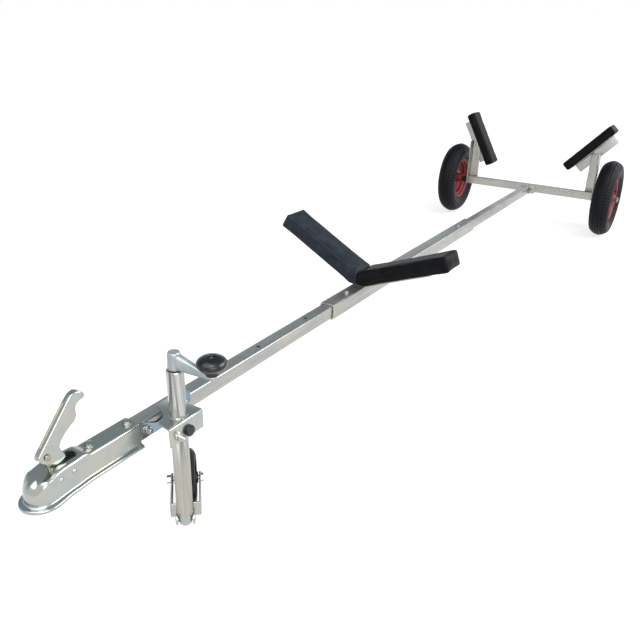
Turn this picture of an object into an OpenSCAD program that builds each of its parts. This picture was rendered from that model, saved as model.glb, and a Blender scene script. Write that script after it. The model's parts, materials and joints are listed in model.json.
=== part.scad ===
// Boat launching trailer: telescoping square drawbar, ball coupling, jockey-wheel jack,
// V cradle and two tilted rear supports on a straight axle beam.
// X points forward to the coupling, Y to the left side, Z up. Lengths are in millimetres.
// Everything is first laid out with the drawbar level, its ground origin under the axle,
// and then turned nose-up about the axle line until the jockey wheel meets the ground.

/* [Wheels] */
// Outer diameter of a road tyre
tyre_d = 400; // [380:1:420]
// Width of a road tyre
tyre_w = 100; // [90:1:105]
// Distance between the two wheel centres
track = 860; // [850:1:900]
// Diameter over the rim flanges
rim_d = 226; // [215:1:235]
// Width over the rim flanges
rim_w = 66; // [60:1:70]
// Diameter of the stub axles
stub_d = 20; // [18:1:22]

/* [Drawbar] */
// Side of the front, rear and axle square tubes
tube = 40; // [40:1:40]
// Side of the middle sleeve tube
sleeve = 50; // [50:1:52]
// Height of the drawbar top above the ground when level
drawbar_top = 212.6; // [211:0.1:214]
// Rear end of the sleeve, ahead of the axle
sleeve_x0 = 943; // [900:1:1000]
// Front end of the sleeve
sleeve_x1 = 2190; // [2150:1:2250]
// Front end of the front tube, inside the coupling
front_x1 = 3132; // [3126:1:3136]

/* [Cradle] */
// Place of the V cradle along the drawbar
cradle_x = 1953; // [1900:1:2000]
// Height of the V's lowest line of padding
cradle_z = 265; // [262:0.5:270]
// Length of a cradle pad
cradle_l = 324; // [300:1:340]
// Width of a cradle pad
cradle_w = 104; // [90:1:110]
// Thickness of a cradle pad
cradle_t = 50; // [46:1:52]
// Tilt of the left cradle pad
cradle_tilt_left = 21; // [18:0.5:30]
// Tilt of the right cradle pad
cradle_tilt_right = 28.5; // [18:0.5:30]

/* [Rear supports] */
// Height of the posts' top ends
post_top = 424; // [415:1:430]
// Length of a rear pad
pad_l = 306; // [290:1:320]
// Width of a rear pad
pad_w = 100; // [90:1:110]
// Thickness of a rear pad
pad_t = 44; // [40:1:48]
// Tilt of the left rear pad
pad_tilt_left = 47; // [45:0.5:55]
// Tilt of the right rear pad
pad_tilt_right = 61; // [50:0.5:62]

/* [Coupling] */
// Centre of the ball socket, ahead of the axle
ball_x = 3237; // [3236:1:3239]
// Radius of the ball socket for a 50 mm ball
socket_r = 25.3; // [25.2:0.05:25.5]
// Sheet thickness of the pressed body
coupling_wall = 4; // [3.5:0.5:4]
// Angle of the raised lever above the drawbar
lever_angle = 47.5; // [45:0.5:52]

/* [Jack] */
// Place of the jack tube along the drawbar
jack_x = 2953; // [2950:1:2956]
// Distance of the jack tube from the middle plane
jack_y = 92.5; // [91:0.5:95]
// Outer diameter of the outer tube
jack_d = 38; // [38:1:38]
// Top of the outer tube
jack_top = 351; // [345:1:355]
// Bottom of the outer tube
jack_bottom = -27; // [-28:1:-25]
// Direction in which the folded jockey wheel lies
fold_dir = -139; // [-142:1:-136]
// Direction of the crank arm
crank_dir = 101.5; // [95:1:108]
// Diameter of the jockey wheel
jockey_d = 150; // [146:1:152]
// Width of the jockey wheel
jockey_w = 48; // [46:1:50]

/* [Hidden] */
$fn = 96;
hull_fn = 32;
axle_h = tyre_d / 2;
wheel_y = track / 2;
tube_wall = 3;
sleeve_wall = 4;
drawbar_z = drawbar_top - tube / 2;
sleeve_top = drawbar_z + sleeve / 2;
bolt_d = 10;
hole_d = 11;
head_d = 17;
head_h = 6.5;

// Axle beam and posts
beam_half = 354;
angle_side = 50;
angle_t = 5;
post_out = beam_half + angle_t;
post_in = post_out - angle_side;
post_back = -tube / 2 - angle_t;
bracket_l = 243;
pad_x = post_back - angle_t + angle_side / 2;
pad_y = 299;
pad_z_left = 454;
pad_z_right = 441;
post_bolt_y = (post_out + post_in) / 2;
post_bolt_z = 404;

// Bent plate of the cradle
wing_l = 238;
wing_w = 70;

// Wheel hubs
hub_half = 38;
hub_d = 52;
hub_bore_r = stub_d / 2 + 0.06;
stub_end = wheel_y + hub_half + 22;

// Sleeve and drawbar bolts, along X
joint_front_x = 2070;
joint_rear_x = 1087;
spare_holes = [2313, 2546, 2898];
coupling_bolts_x = [3016, 3117];
end_plate_t = 5;
end_plate_half = 48;
end_bolt_y = 35;

// Coupling
coupling_x0 = 3003;
coupling_out = tube / 2 + 1 + coupling_wall;
coupling_top = drawbar_top + 1 + coupling_wall;
head_half = 28;
flange_half = 44;
flange_head = 37;
flange_tail = 34;
flange_z0 = 160;
flange_z1 = 166;
dome_r = 33;
socket_z = 185;
hump_top = 224;
lever_x = 3218;
lever_z = 252;
lever_half = 10.5;
lever_wall = 2.5;
lever_pin_r = 5;
ear_y0 = 4;
ear_y1 = 7.3;
window_x = 3152;
window_l = 62;
window_half = 14.5;

// Jack bracket
box_x0 = 2905;
box_x1 = 3007;
box_y1 = 120;
box_top = 240;
box_low = 194;
web_low = 165;
plate_t = 4;
mount_x0 = 2842;
mount_x1 = 3000;
mount_top = 239;
mount_bolts_x = [2860, 2985];
mount_bolt_z = drawbar_z + 3;
plunger_x = 2984;
plunger_z = 212;
cap_x = 2953;
cap_z = 211;

// Jack leg, foot and fork, with the fold direction as local X
jack_wall = 3;
leg_r = jack_d / 2 - jack_wall - 0.4;
leg_wall = 3;
leg_top = 225;
foot_gap = 1;
foot_top = jack_bottom - foot_gap;
pivot_z = -43;
lug_r = 16;
ear_t = 4.5;
ear_in = lug_r + 1;
web_h = 38;
arm_out = 36;
arm_in = arm_out - ear_t;
web_x0 = 24.5;
web_x1 = 28.5;
fork_reach = 108;
jockey_z = -10;
jockey_r = jockey_d / 2;
jockey_bolt_r = 6;
pivot_r = 6;

// Crank
spindle_r = 6;
crank_reach = 89;
arm_mid = 46;
crank_head_r = 14;
crank_z0 = jack_top + 2;
crank_z1 = 393;
knob_r = 32.5;
knob_z = 383.5;
knob_half = 17.3;
knob_low = 357;

// Nose-up angle that stands the level layout on its road wheels and jockey wheel
jockey_x = jack_x + fork_reach * cos(fold_dir);
drop = axle_h - jockey_z;
nose_up = atan2(drop, jockey_x) + asin((jockey_r - axle_h) / norm([drop, jockey_x]));

// Middle of the overall length once parked
nose_x = ball_x + flange_half;
nose_reach = nose_x * cos(nose_up) - (flange_z0 - axle_h) * sin(nose_up);
mid_x = (nose_reach - tyre_d / 2) / 2;

zinc = "silver";
galvanised = "lightgray";
rubber = "#1c1c1e";
pad_black = "#202226";
rim_red = "#8a2a2e";
knob_black = "#151515";

// ---------- shared shapes ----------

// Turns the level layout nose-up about the axle line and centres its length
module parked() {
    translate([-mid_x, 0, axle_h])
        rotate([0, -nose_up, 0])
            translate([0, 0, -axle_h])
                children();
}

// Square tube along X, centred on Y, from x0 to x1
module square_tube_x(x0, x1, side, wall, zc) {
    translate([x0, 0, zc])
        rotate([90, 0, 90])
            linear_extrude(x1 - x0)
                difference() {
                    square(side, center = true);
                    square(side - 2 * wall, center = true);
                }
}

// Upright hole at x, y
module upright_hole(x, y, d) {
    translate([x, y, 0])
        cylinder(d = d, h = 400);
}

// Upright bolt from z0 to z1 with a head on top and a nut below
module upright_bolt(x, y, z0, z1) {
    translate([x, y, z0 - head_h - 5])
        cylinder(d = bolt_d, h = z1 - z0 + head_h + 5);
    translate([x, y, z1])
        cylinder(d = head_d, h = head_h);
    translate([x, y, z0 - head_h])
        cylinder(d = head_d, h = head_h, $fn = 6);
}

// Bolt along +X from x0 to x1, head at x1 and nut at x0
module forward_bolt(x0, x1, y, z) {
    translate([x0 - head_h - 4, y, z])
        rotate([0, 90, 0])
            cylinder(d = bolt_d, h = x1 - x0 + head_h + 4);
    translate([x1, y, z])
        rotate([0, 90, 0])
            cylinder(d = head_d, h = head_h, $fn = 6);
    translate([x0 - head_h, y, z])
        rotate([0, 90, 0])
            cylinder(d = head_d, h = head_h, $fn = 6);
}

// Cylinder along Y from y0 to y1
module rod_y(y0, y1, r) {
    translate([0, y1, 0])
        rotate([90, 0, 0])
            cylinder(r = r, h = y1 - y0);
}

// Places children at a tilted pad: local X across, Y up the slope and Z out of its face
module tilted(side, y, z, tilt) {
    translate([0, side * y, z])
        rotate([side * tilt, 0, 0])
            children();
}

// ---------- axle, posts and rear pads ----------

module axle_beam() {
    color(galvanised)
        parked()
            translate([0, 0, axle_h])
                difference() {
                    cube([tube, 2 * beam_half, tube], center = true);
                    cube([tube - 2 * tube_wall, 2 * beam_half + 1, tube - 2 * tube_wall], center = true);
                    for (s = [-1, 1])
                        translate([-tube, s * end_bolt_y, -3])
                            rotate([0, 90, 0])
                                cylinder(d = hole_d, h = 2 * tube);
                }
}

module stub_axles() {
    color(zinc)
        parked()
            for (s = [-1, 1])
                translate([0, 0, axle_h]) {
                    plug = tube - 2 * tube_wall;
                    translate([-plug / 2, s > 0 ? beam_half - 60 : -beam_half, -plug / 2])
                        cube([plug, 60, plug]);
                    rod_y(s > 0 ? beam_half - 1 : -stub_end, s > 0 ? stub_end : -beam_half + 1, stub_d / 2);
                    rod_y(s > 0 ? wheel_y + hub_half + 1 : -wheel_y - hub_half - 12,
                          s > 0 ? wheel_y + hub_half + 12 : -wheel_y - hub_half - 1, 16);
                }
}

module axle_collars() {
    color(knob_black)
        parked()
            for (s = [-1, 1])
                translate([0, 0, axle_h])
                    difference() {
                        rod_y(s > 0 ? post_out : -wheel_y + hub_half + 1,
                              s > 0 ? wheel_y - hub_half - 1 : -post_out, 18);
                        rod_y(s > 0 ? post_out - 1 : -wheel_y, s > 0 ? wheel_y : -post_out + 1, stub_d / 2);
                    }
}

// Steel angle post that wraps the rear and outer faces of the beam's end
module post(side, pad_z, tilt) {
    color(galvanised)
        parked()
            difference() {
                translate([0, side > 0 ? 0 : -post_out, axle_h - tube / 2])
                    difference() {
                        translate([post_back, side > 0 ? post_in : 0, 0])
                            cube([angle_side, angle_side, post_top - axle_h + tube / 2]);
                        translate([post_back + angle_t, side > 0 ? post_in - 1 : angle_t, -1])
                            cube([angle_side, angle_side - angle_t + 1, post_top]);
                    }
                tilted(side, pad_y, pad_z, tilt)
                    translate([-100, -200, -pad_t / 2 - angle_t - 1])
                        cube([200, 400, 200]);
                translate([0, 0, axle_h])
                    rod_y(side > 0 ? post_out - angle_t - 1 : -post_out - 1,
                          side > 0 ? post_out + 1 : -post_out + angle_t + 1, stub_d / 2);
                translate([post_back - 1, side * post_bolt_y, post_bolt_z])
                    rotate([0, 90, 0])
                        cylinder(d = hole_d, h = angle_t + 2);
            }
}

module post_left() {
    post(1, pad_z_left, pad_tilt_left);
}

module post_right() {
    post(-1, pad_z_right, pad_tilt_right);
}

// Steel angle under a rear pad, its upright leg behind the post
module pad_bracket(side, pad_z, tilt) {
    color(galvanised)
        parked()
            difference() {
                tilted(side, pad_y, pad_z, tilt)
                    translate([post_back - angle_t, -bracket_l / 2, -pad_t / 2 - angle_side])
                        difference() {
                            cube([angle_side, bracket_l, angle_side]);
                            translate([angle_t, -1, -1])
                                cube([angle_side, bracket_l + 2, angle_side - angle_t + 1]);
                        }
                translate([post_back - angle_t - 1, side * post_bolt_y, post_bolt_z])
                    rotate([0, 90, 0])
                        cylinder(d = hole_d, h = angle_t + 2);
            }
}

module pad_bracket_left() {
    pad_bracket(1, pad_z_left, pad_tilt_left);
}

module pad_bracket_right() {
    pad_bracket(-1, pad_z_right, pad_tilt_right);
}

module post_bolts() {
    color(zinc)
        parked()
            for (s = [-1, 1])
                forward_bolt(post_back - angle_t, post_back + angle_t, s * post_bolt_y, post_bolt_z);
}

// Padded board, plain block with rounded long edges
module pad_block(w, l, t) {
    r = 9;
    translate([0, l / 2, 0])
        rotate([90, 0, 0])
            linear_extrude(l)
                hull()
                    for (x = [-1, 1])
                        for (z = [-1, 1])
                            translate([x * (w / 2 - r), z * (t / 2 - r)])
                                circle(r, $fn = hull_fn);
}

module rear_pad_left() {
    color(pad_black)
        parked()
            tilted(1, pad_y, pad_z_left, pad_tilt_left)
                translate([pad_x, 0, 0])
                    pad_block(pad_w, pad_l, pad_t);
}

module rear_pad_right() {
    color(pad_black)
        parked()
            tilted(-1, pad_y, pad_z_right, pad_tilt_right)
                translate([pad_x, 0, 0])
                    pad_block(pad_w, pad_l, pad_t);
}

// ---------- drawbar ----------

module drawbar_rear() {
    color(galvanised)
        parked()
            difference() {
                square_tube_x(tube / 2 + end_plate_t, joint_rear_x + 70, tube, tube_wall, drawbar_z);
                upright_hole(joint_rear_x, 0, hole_d);
            }
}

module drawbar_end_plate() {
    color(galvanised)
        parked()
            difference() {
                translate([tube / 2, -end_plate_half, drawbar_z - tube / 2])
                    cube([end_plate_t, 2 * end_plate_half, axle_h + tube / 2 - drawbar_z + tube / 2]);
                for (s = [-1, 1])
                    translate([0, s * end_bolt_y, axle_h - 3])
                        rotate([0, 90, 0])
                            cylinder(d = hole_d, h = tube);
            }
}

module end_plate_bolts() {
    color(zinc)
        parked()
            for (s = [-1, 1])
                forward_bolt(-tube / 2, tube / 2 + end_plate_t, s * end_bolt_y, axle_h - 3);
}

module drawbar_sleeve() {
    color(galvanised)
        parked()
            difference() {
                square_tube_x(sleeve_x0, sleeve_x1, sleeve, sleeve_wall, drawbar_z);
                for (x = [joint_rear_x, cradle_x, joint_front_x])
                    upright_hole(x, 0, hole_d);
            }
}

module sleeve_bolts() {
    color(zinc)
        parked()
            for (x = [joint_rear_x, joint_front_x])
                upright_bolt(x, 0, drawbar_z - sleeve / 2, sleeve_top);
}

module drawbar_front() {
    color(galvanised)
        parked()
            difference() {
                square_tube_x(joint_front_x - 70, front_x1, tube, tube_wall, drawbar_z);
                for (x = concat([joint_front_x], spare_holes, coupling_bolts_x))
                    upright_hole(x, 0, hole_d);
                for (x = mount_bolts_x)
                    translate([x, 0, mount_bolt_z])
                        rod_y(-tube, tube, hole_d / 2);
            }
}

// ---------- V cradle ----------

// Height of the bent plate's top under a wing, on its own slope's middle line
function wing_foot(tilt) = (sleeve_top + angle_t - cradle_z + cradle_t / cos(tilt)) / tan(tilt);

// Plate bent up to both sides, bolted flat on the sleeve
module cradle_plate() {
    a = cradle_tilt_left;
    b = cradle_tilt_right;
    left = wing_foot(a);
    right = wing_foot(b);
    top = sleeve_top + angle_t;
    color(galvanised)
        parked()
            difference() {
                translate([cradle_x - wing_w / 2, 0, 0])
                    rotate([90, 0, 90])
                        linear_extrude(wing_w)
                            polygon([
                                [left, top],
                                [left + wing_l * cos(a), top + wing_l * sin(a)],
                                [left + wing_l * cos(a) + angle_t * sin(a),
                                 top + wing_l * sin(a) - angle_t * cos(a)],
                                [left + angle_t * tan(a / 2), sleeve_top],
                                [-right - angle_t * tan(b / 2), sleeve_top],
                                [-right - wing_l * cos(b) - angle_t * sin(b),
                                 top + wing_l * sin(b) - angle_t * cos(b)],
                                [-right - wing_l * cos(b), top + wing_l * sin(b)],
                                [-right, top]
                            ]);
                upright_hole(cradle_x, 0, hole_d);
            }
}

module cradle_bolt() {
    color(zinc)
        parked() {
            low = drawbar_z - sleeve / 2;
            translate([cradle_x, 0, low - head_h - 5])
                cylinder(d = bolt_d, h = sleeve_top + angle_t - low + head_h + 5);
            translate([cradle_x, 0, low - head_h])
                cylinder(d = head_d, h = head_h, $fn = 6);
        }
}

// Pad of the V, cut upright on the middle plane and flat above the plate
module cradle_pad(side, tilt) {
    color(pad_black)
        parked()
            translate([cradle_x, 0, 0])
                difference() {
                    tilted(side, 0, cradle_z, tilt)
                        translate([0, side * (cradle_l / 2 - 20), -cradle_t / 2])
                            pad_block(cradle_w, cradle_l + 40, cradle_t);
                    translate([-100, side > 0 ? -200 + 0.2 : -0.2, 0])
                        cube([200, 200, 600]);
                    translate([-100, -200, 0])
                        cube([200, 400, sleeve_top + angle_t]);
                }
}

module cradle_pad_left() {
    cradle_pad(1, cradle_tilt_left);
}

module cradle_pad_right() {
    cradle_pad(-1, cradle_tilt_right);
}

// ---------- coupling ----------

// Side outline of the pressed body, in X and Z
module coupling_side() {
    polygon([
        [coupling_x0 - 1, flange_z0],
        [coupling_x0 - 1, coupling_top],
        [3128, coupling_top],
        [3146, hump_top],
        [3214, hump_top],
        [3241, 216],
        [3255, 208],
        [3264, 197],
        [3268, 184],
        [3268, flange_z0]
    ]);
}

// Plan outline with a straight tail, a wider head and a round nose
module coupling_plan(half, head, nose) {
    translate([coupling_x0, -half])
        square([160, 2 * half]);
    hull() {
        translate([3140, -half])
            square([10, 2 * half]);
        translate([3172, -head])
            square([10, 2 * head]);
        translate([ball_x, 0])
            circle(nose);
    }
}

// Plate from y0 to y1 on each side, its outline in X and Z
module plate_pair(y0, y1) {
    for (s = [-1, 1])
        translate([0, s > 0 ? y1 : -y0, 0])
            rotate([90, 0, 0])
                linear_extrude(y1 - y0)
                    children();
}

// Ears that carry the lever's pin, inside its channel
module lever_ears() {
    plate_pair(ear_y0, ear_y1)
        hull() {
            translate([lever_x, lever_z])
                circle(9, $fn = hull_fn);
            translate([lever_x - 11.5, 206])
                square([7, 6]);
        }
}

module coupling_body() {
    color(zinc)
        parked()
            difference() {
                union() {
                    intersection() {
                        translate([0, 0, flange_z0])
                            linear_extrude(100)
                                coupling_plan(coupling_out, head_half, dome_r);
                        translate([0, 60, 0])
                            rotate([90, 0, 0])
                                linear_extrude(120)
                                    coupling_side();
                    }
                    translate([0, 0, flange_z0])
                        linear_extrude(flange_z1 - flange_z0)
                            coupling_plan(flange_tail, flange_head, flange_half);
                    lever_ears();
                }
                // room for the drawbar's end
                translate([coupling_x0 - 2, -tube / 2 - 1, 0])
                    cube([3206 - coupling_x0, tube + 2, coupling_top - coupling_wall]);
                // hollow of the head
                translate([3146, -tube / 2 - 1, 0])
                    cube([60, tube + 2, hump_top - coupling_wall]);
                translate([ball_x, 0, 0]) {
                    cylinder(r = socket_r, h = socket_z);
                    translate([0, 0, socket_z])
                        sphere(r = socket_r);
                }
                // window in the top, which the lever's foot swings through
                translate([window_x, -window_half, hump_top - 10])
                    cube([window_l, 2 * window_half, 14]);
                translate([lever_x, 0, lever_z])
                    rod_y(-30, 30, lever_pin_r);
                for (x = coupling_bolts_x)
                    upright_hole(x, 0, hole_d);
            }
}

module coupling_bolts() {
    color(zinc)
        parked()
            for (x = coupling_bolts_x)
                upright_bolt(x, 0, drawbar_z - tube / 2, coupling_top);
}

module lever_pin() {
    color(zinc)
        parked()
            translate([lever_x, 0, lever_z]) {
                rod_y(-lever_half - 0.5, lever_half + 0.5, lever_pin_r);
                rod_y(lever_half + 0.5, lever_half + 3, 7);
                rod_y(-lever_half - 3, -lever_half - 0.5, 7);
            }
}

// Pressed channel lever, open underneath, laid along local X from its pin
module coupling_lever() {
    color(zinc)
        parked()
            translate([lever_x, 0, lever_z])
                rotate([0, lever_angle - 180, 0])
                    difference() {
                        translate([0, lever_half, 0])
                            rotate([90, 0, 0])
                                linear_extrude(2 * lever_half)
                                    polygon([
                                        [-13, -10], [-10, -15], [-4, -16.5], [118, -16.5], [128, -13],
                                        [135, -7], [137.5, 1], [136, 10], [133, 14], [127, 13], [120, 8.5],
                                        [112, 5.6], [104, 8], [97, 14], [91, 19], [80, 20], [66, 16],
                                        [52, 13], [40, 12.3], [30, 14], [24, 18], [20.4, 25],
                                        [16.5, 35.5], [13.5, 41.5], [10.5, 43], [6, 41], [-4.5, 36],
                                        [-9, 31], [-12, 14], [-13.5, 0]
                                    ]);
                        // hollow of the channel
                        translate([-40, -lever_half + lever_wall, -13.5])
                            cube([163, 2 * (lever_half - lever_wall), 60]);
                        rod_y(-lever_half - 1, lever_half + 1, lever_pin_r + 0.06);
                    }
}

// ---------- jack ----------

// Frame of the jack tube's axis
module at_jack(direction) {
    translate([jack_x, jack_y, 0])
        rotate([0, 0, direction])
            children();
}

// Plate against the drawbar's side, its top edge dipping around the tube
module jack_mount_plate() {
    color(zinc)
        parked()
            difference() {
                translate([0, tube / 2 + plate_t, 0])
                    rotate([90, 0, 0])
                        linear_extrude(plate_t)
                            polygon([
                                [mount_x0, drawbar_z - tube / 2], [mount_x0, 221], [2864, mount_top],
                                [2906, mount_top], [2916, 226], [2924, 208], [2933, 198],
                                [2949, 195], [2964, 201], [2977, 208], [2990, 214],
                                [mount_x1, 218], [mount_x1, drawbar_z - tube / 2]
                            ]);
                for (x = mount_bolts_x)
                    translate([x, 0, mount_bolt_z])
                        rod_y(0, 2 * tube, hole_d / 2);
            }
}

module jack_mount_bolts() {
    color(zinc)
        parked()
            for (x = mount_bolts_x)
                translate([x, 0, mount_bolt_z]) {
                    rod_y(-tube / 2 - 1, tube / 2 + plate_t + 16, bolt_d / 2);
                    translate([0, tube / 2 + plate_t + 8, 0])
                        rotate([90, 0, 0])
                            cylinder(d = head_d + 1, h = 8, $fn = 6);
                    rod_y(-tube / 2 - head_h, -tube / 2, head_d / 2);
                }
}

// Pressed housing around the tube: top, outer face and a web at each end
module jack_housing() {
    y0 = tube / 2 + plate_t;
    color(zinc)
        parked()
            difference() {
                union() {
                    // top, cut away beside the drawbar
                    translate([0, 0, box_top - plate_t])
                        linear_extrude(plate_t)
                            polygon([
                                [box_x0, y0], [2944, y0], [2967, 61], [2984, 80],
                                [3000, 78], [box_x1, box_y1], [box_x0, box_y1]
                            ]);
                    translate([box_x0, box_y1 - plate_t, box_low])
                        cube([box_x1 - box_x0, plate_t, box_top - box_low]);
                    translate([box_x0, 0, 0])
                        rotate([90, 0, 90])
                            linear_extrude(plate_t)
                                polygon([
                                    [y0, web_low], [y0, box_top], [box_y1, box_top], [box_y1, box_low],
                                    [98, 190], [60, web_low + 4]
                                ]);
                    translate([mount_x1 - plate_t, 0, 0])
                        rotate([90, 0, 90])
                            linear_extrude(plate_t)
                                polygon([
                                    [y0, web_low], [y0, 218], [36, 221], [60, 227], [78, box_top - 1],
                                    [box_y1, box_top - 1], [box_y1, box_low], [98, 190], [60, web_low + 4]
                                ]);
                }
                at_jack(0)
                    cylinder(r = jack_d / 2, h = 400);
                // the drawbar's bolts pass here
                for (x = mount_bolts_x)
                    translate([x, 0, mount_bolt_z])
                        rod_y(y0 - 1, y0 + 20, head_d / 2 + 2);
            }
}

module jack_outer_tube() {
    r = jack_d / 2;
    color(zinc)
        parked()
            at_jack(0)
                difference() {
                    translate([0, 0, jack_bottom])
                        cylinder(r = r, h = jack_top - jack_bottom);
                    translate([0, 0, jack_bottom - 1])
                        cylinder(r = r - jack_wall, h = jack_top - 8 - jack_bottom + 1);
                    translate([0, 0, jack_top - 20])
                        cylinder(r = spindle_r + 0.06, h = 40);
                }
}

module lock_plunger() {
    color(zinc)
        parked()
            translate([plunger_x, 0, plunger_z]) {
                rod_y(box_y1, box_y1 + 14, 9);
                rod_y(box_y1 + 14, box_y1 + 22, 5);
            }
}

module lock_knob() {
    color(knob_black)
        parked()
            translate([cap_x, 0, cap_z])
                rod_y(box_y1, box_y1 + 18, 15);
}

module jack_crank() {
    color("#9aa0a3")
        parked()
            at_jack(crank_dir)
                difference() {
                    union() {
                        translate([0, 0, jack_top - 30])
                            cylinder(r = spindle_r, h = 40);
                        translate([0, 0, crank_z0])
                            cylinder(r = crank_head_r, h = crank_z1 - crank_z0);
                        // deep bar that thins towards the knob
                        hull() {
                            translate([0, 0, crank_z0 + 3])
                                cylinder(r = 11, h = 28, $fn = hull_fn);
                            translate([arm_mid, 0, crank_z0 - 5])
                                cylinder(r = 8, h = 20, $fn = hull_fn);
                        }
                        hull() {
                            translate([arm_mid, 0, crank_z0 - 5])
                                cylinder(r = 8, h = 20, $fn = hull_fn);
                            translate([crank_reach - 24, 0, 346])
                                cylinder(r = 7, h = 10, $fn = hull_fn);
                        }
                        hull() {
                            translate([crank_reach - 24, 0, 346])
                                cylinder(r = 7, h = 10, $fn = hull_fn);
                            translate([crank_reach, 0, 346])
                                cylinder(r = 9, h = 10, $fn = hull_fn);
                        }
                    }
                    translate([crank_reach, 0, 300])
                        cylinder(r = 4, h = 100);
                }
}

module crank_knob() {
    color(knob_black)
        parked()
            at_jack(crank_dir)
                translate([crank_reach, 0, 0]) {
                    translate([0, 0, 341])
                        cylinder(r = 4, h = 20);
                    translate([0, 0, knob_low])
                        cylinder(r = 14, h = knob_z - knob_low);
                    translate([0, 0, knob_z])
                        rotate_extrude()
                            intersection() {
                                scale([knob_r, knob_half])
                                    circle(1);
                                translate([0, -knob_half + 2])
                                    square([2 * knob_r, 2 * knob_half - 4]);
                            }
                }
}

module jack_leg() {
    color(zinc)
        parked()
            at_jack(0)
                difference() {
                    translate([0, 0, jack_bottom])
                        cylinder(r = leg_r, h = leg_top - jack_bottom);
                    translate([0, 0, jack_bottom - 1])
                        cylinder(r = leg_r - leg_wall, h = leg_top);
                }
}

module jack_foot() {
    color(zinc)
        parked()
            at_jack(fold_dir)
                difference() {
                    union() {
                        translate([0, 0, foot_top - 4])
                            cylinder(r = ear_in - 0.5, h = 4);
                        translate([0, 0, pivot_z])
                            cylinder(r = lug_r, h = foot_top - pivot_z);
                        translate([0, 0, foot_top - 1])
                            cylinder(r = leg_r - leg_wall - 0.4, h = 50);
                        intersection() {
                            translate([0, 0, pivot_z])
                                sphere(r = lug_r);
                            translate([-50, -50, pivot_z - 50])
                                cube([100, 100, 50]);
                        }
                    }
                    translate([0, 0, pivot_z])
                        rod_y(-40, 40, pivot_r);
                }
}

module fork_pin() {
    half = ear_in + ear_t;
    color(zinc)
        parked()
            at_jack(fold_dir)
                translate([0, 0, pivot_z]) {
                    rod_y(-half - 1, half + 1, pivot_r);
                    rod_y(half + 1, half + 5, 9);
                    rod_y(-half - 5, -half - 1, 9);
                }
}

module jack_fork() {
    color(zinc)
        parked()
            at_jack(fold_dir)
                difference() {
                    union() {
                        // ears on the pivot
                        for (s = [-1, 1])
                            translate([0, s > 0 ? ear_in + ear_t : -ear_in, 0])
                                rotate([90, 0, 0])
                                    linear_extrude(ear_t)
                                        hull() {
                                            translate([0, pivot_z])
                                                circle(14);
                                            translate([web_x0, pivot_z - 14])
                                                square([4, 28]);
                                        }
                        // web across the wheel
                        translate([web_x0, -arm_out, pivot_z - 14])
                            cube([web_x1 - web_x0, 2 * arm_out, web_h]);
                        // arms to the axle
                        for (s = [-1, 1])
                            translate([0, s > 0 ? arm_out : -arm_in, 0])
                                rotate([90, 0, 0])
                                    linear_extrude(ear_t)
                                        hull() {
                                            translate([web_x0, pivot_z - 14])
                                                square([4, 28]);
                                            translate([fork_reach, jockey_z])
                                                circle(15);
                                        }
                    }
                    translate([0, 0, pivot_z])
                        rod_y(-60, 60, pivot_r + 0.06);
                    translate([fork_reach, 0, jockey_z])
                        rod_y(-60, 60, jockey_bolt_r);
                }
}

module jockey_bolt() {
    color(zinc)
        parked()
            at_jack(fold_dir)
                translate([fork_reach, 0, jockey_z]) {
                    rod_y(-arm_out - 5, arm_out + 10, jockey_bolt_r);
                    rod_y(arm_out, arm_out + 7, 9);
                    rod_y(-arm_out - 6, -arm_out, 9);
                }
}

module jockey_tyre() {
    r = jockey_d / 2;
    h = jockey_w / 2;
    color(rubber)
        parked()
            at_jack(fold_dir)
                translate([fork_reach, 0, jockey_z])
                    rotate([90, 0, 0])
                        rotate_extrude()
                            difference() {
                                hull() {
                                    translate([46, -h])
                                        square([4, 2 * h]);
                                    for (s = [-1, 1])
                                        translate([r - 10, s * (h - 14)])
                                            circle(10, $fn = hull_fn);
                                    translate([r - 24, -h])
                                        square([8, 2 * h]);
                                }
                                translate([0, -50])
                                    square([46, 100]);
                            }
}

module jockey_hub() {
    h = jockey_w / 2;
    color(knob_black)
        parked()
            at_jack(fold_dir)
                translate([fork_reach, 0, jockey_z])
                    difference() {
                        union() {
                            rod_y(-h + 6, h - 6, 46);
                            rod_y(-h - 5, h + 5, 15);
                        }
                        rod_y(-60, 60, jockey_bolt_r + 0.06);
                    }
}

// ---------- road wheels ----------

module at_wheel(side) {
    translate([0, side * wheel_y, axle_h])
        rotate([side > 0 ? -90 : 90, 0, 0])
            children();
}

module tyre(side) {
    r = tyre_d / 2;
    bead = rim_d / 2 - 12;
    h = tyre_w / 2;
    mid = (r + bead) / 2 + 6;
    color(rubber)
        parked()
            at_wheel(side)
                rotate_extrude()
                    difference() {
                        hull() {
                            translate([bead, -rim_w / 2 + 6])
                                square([1, rim_w - 12]);
                            for (s = [-1, 1])
                                translate([mid, s * (h - 30)])
                                    circle(30);
                            translate([r - 40, 0])
                                circle(40);
                        }
                        hull() {
                            translate([bead - 1, -rim_w / 2 + 14])
                                square([1, rim_w - 28]);
                            for (s = [-1, 1])
                                translate([mid, s * (h - 32)])
                                    circle(24);
                        }
                        // seats of the rim's flanges
                        for (s = [-1, 1])
                            translate([0, s > 0 ? rim_w / 2 - 3 : -rim_w / 2 - 30])
                                square([rim_d / 2, 33]);
                    }
}

module rim(side) {
    rr = rim_d / 2;
    h = rim_w / 2;
    color(rim_red)
        parked()
            at_wheel(side)
                rotate_extrude()
                    union() {
                        // bead seat
                        translate([rr - 15, -h + 3])
                            square([3, rim_w - 6]);
                        // flanges
                        for (s = [-1, 1])
                            translate([rr - 15, s > 0 ? h - 3 : -h])
                                square([15, 3]);
                        // drop centre and dished disc
                        polygon([[rr - 13, -6], [rr - 13, 6], [70, 14], [44, 14], [44, 8], [62, 8]]);
                        translate([hub_d / 2, 8])
                            square([20, 6]);
                    }
}

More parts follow.
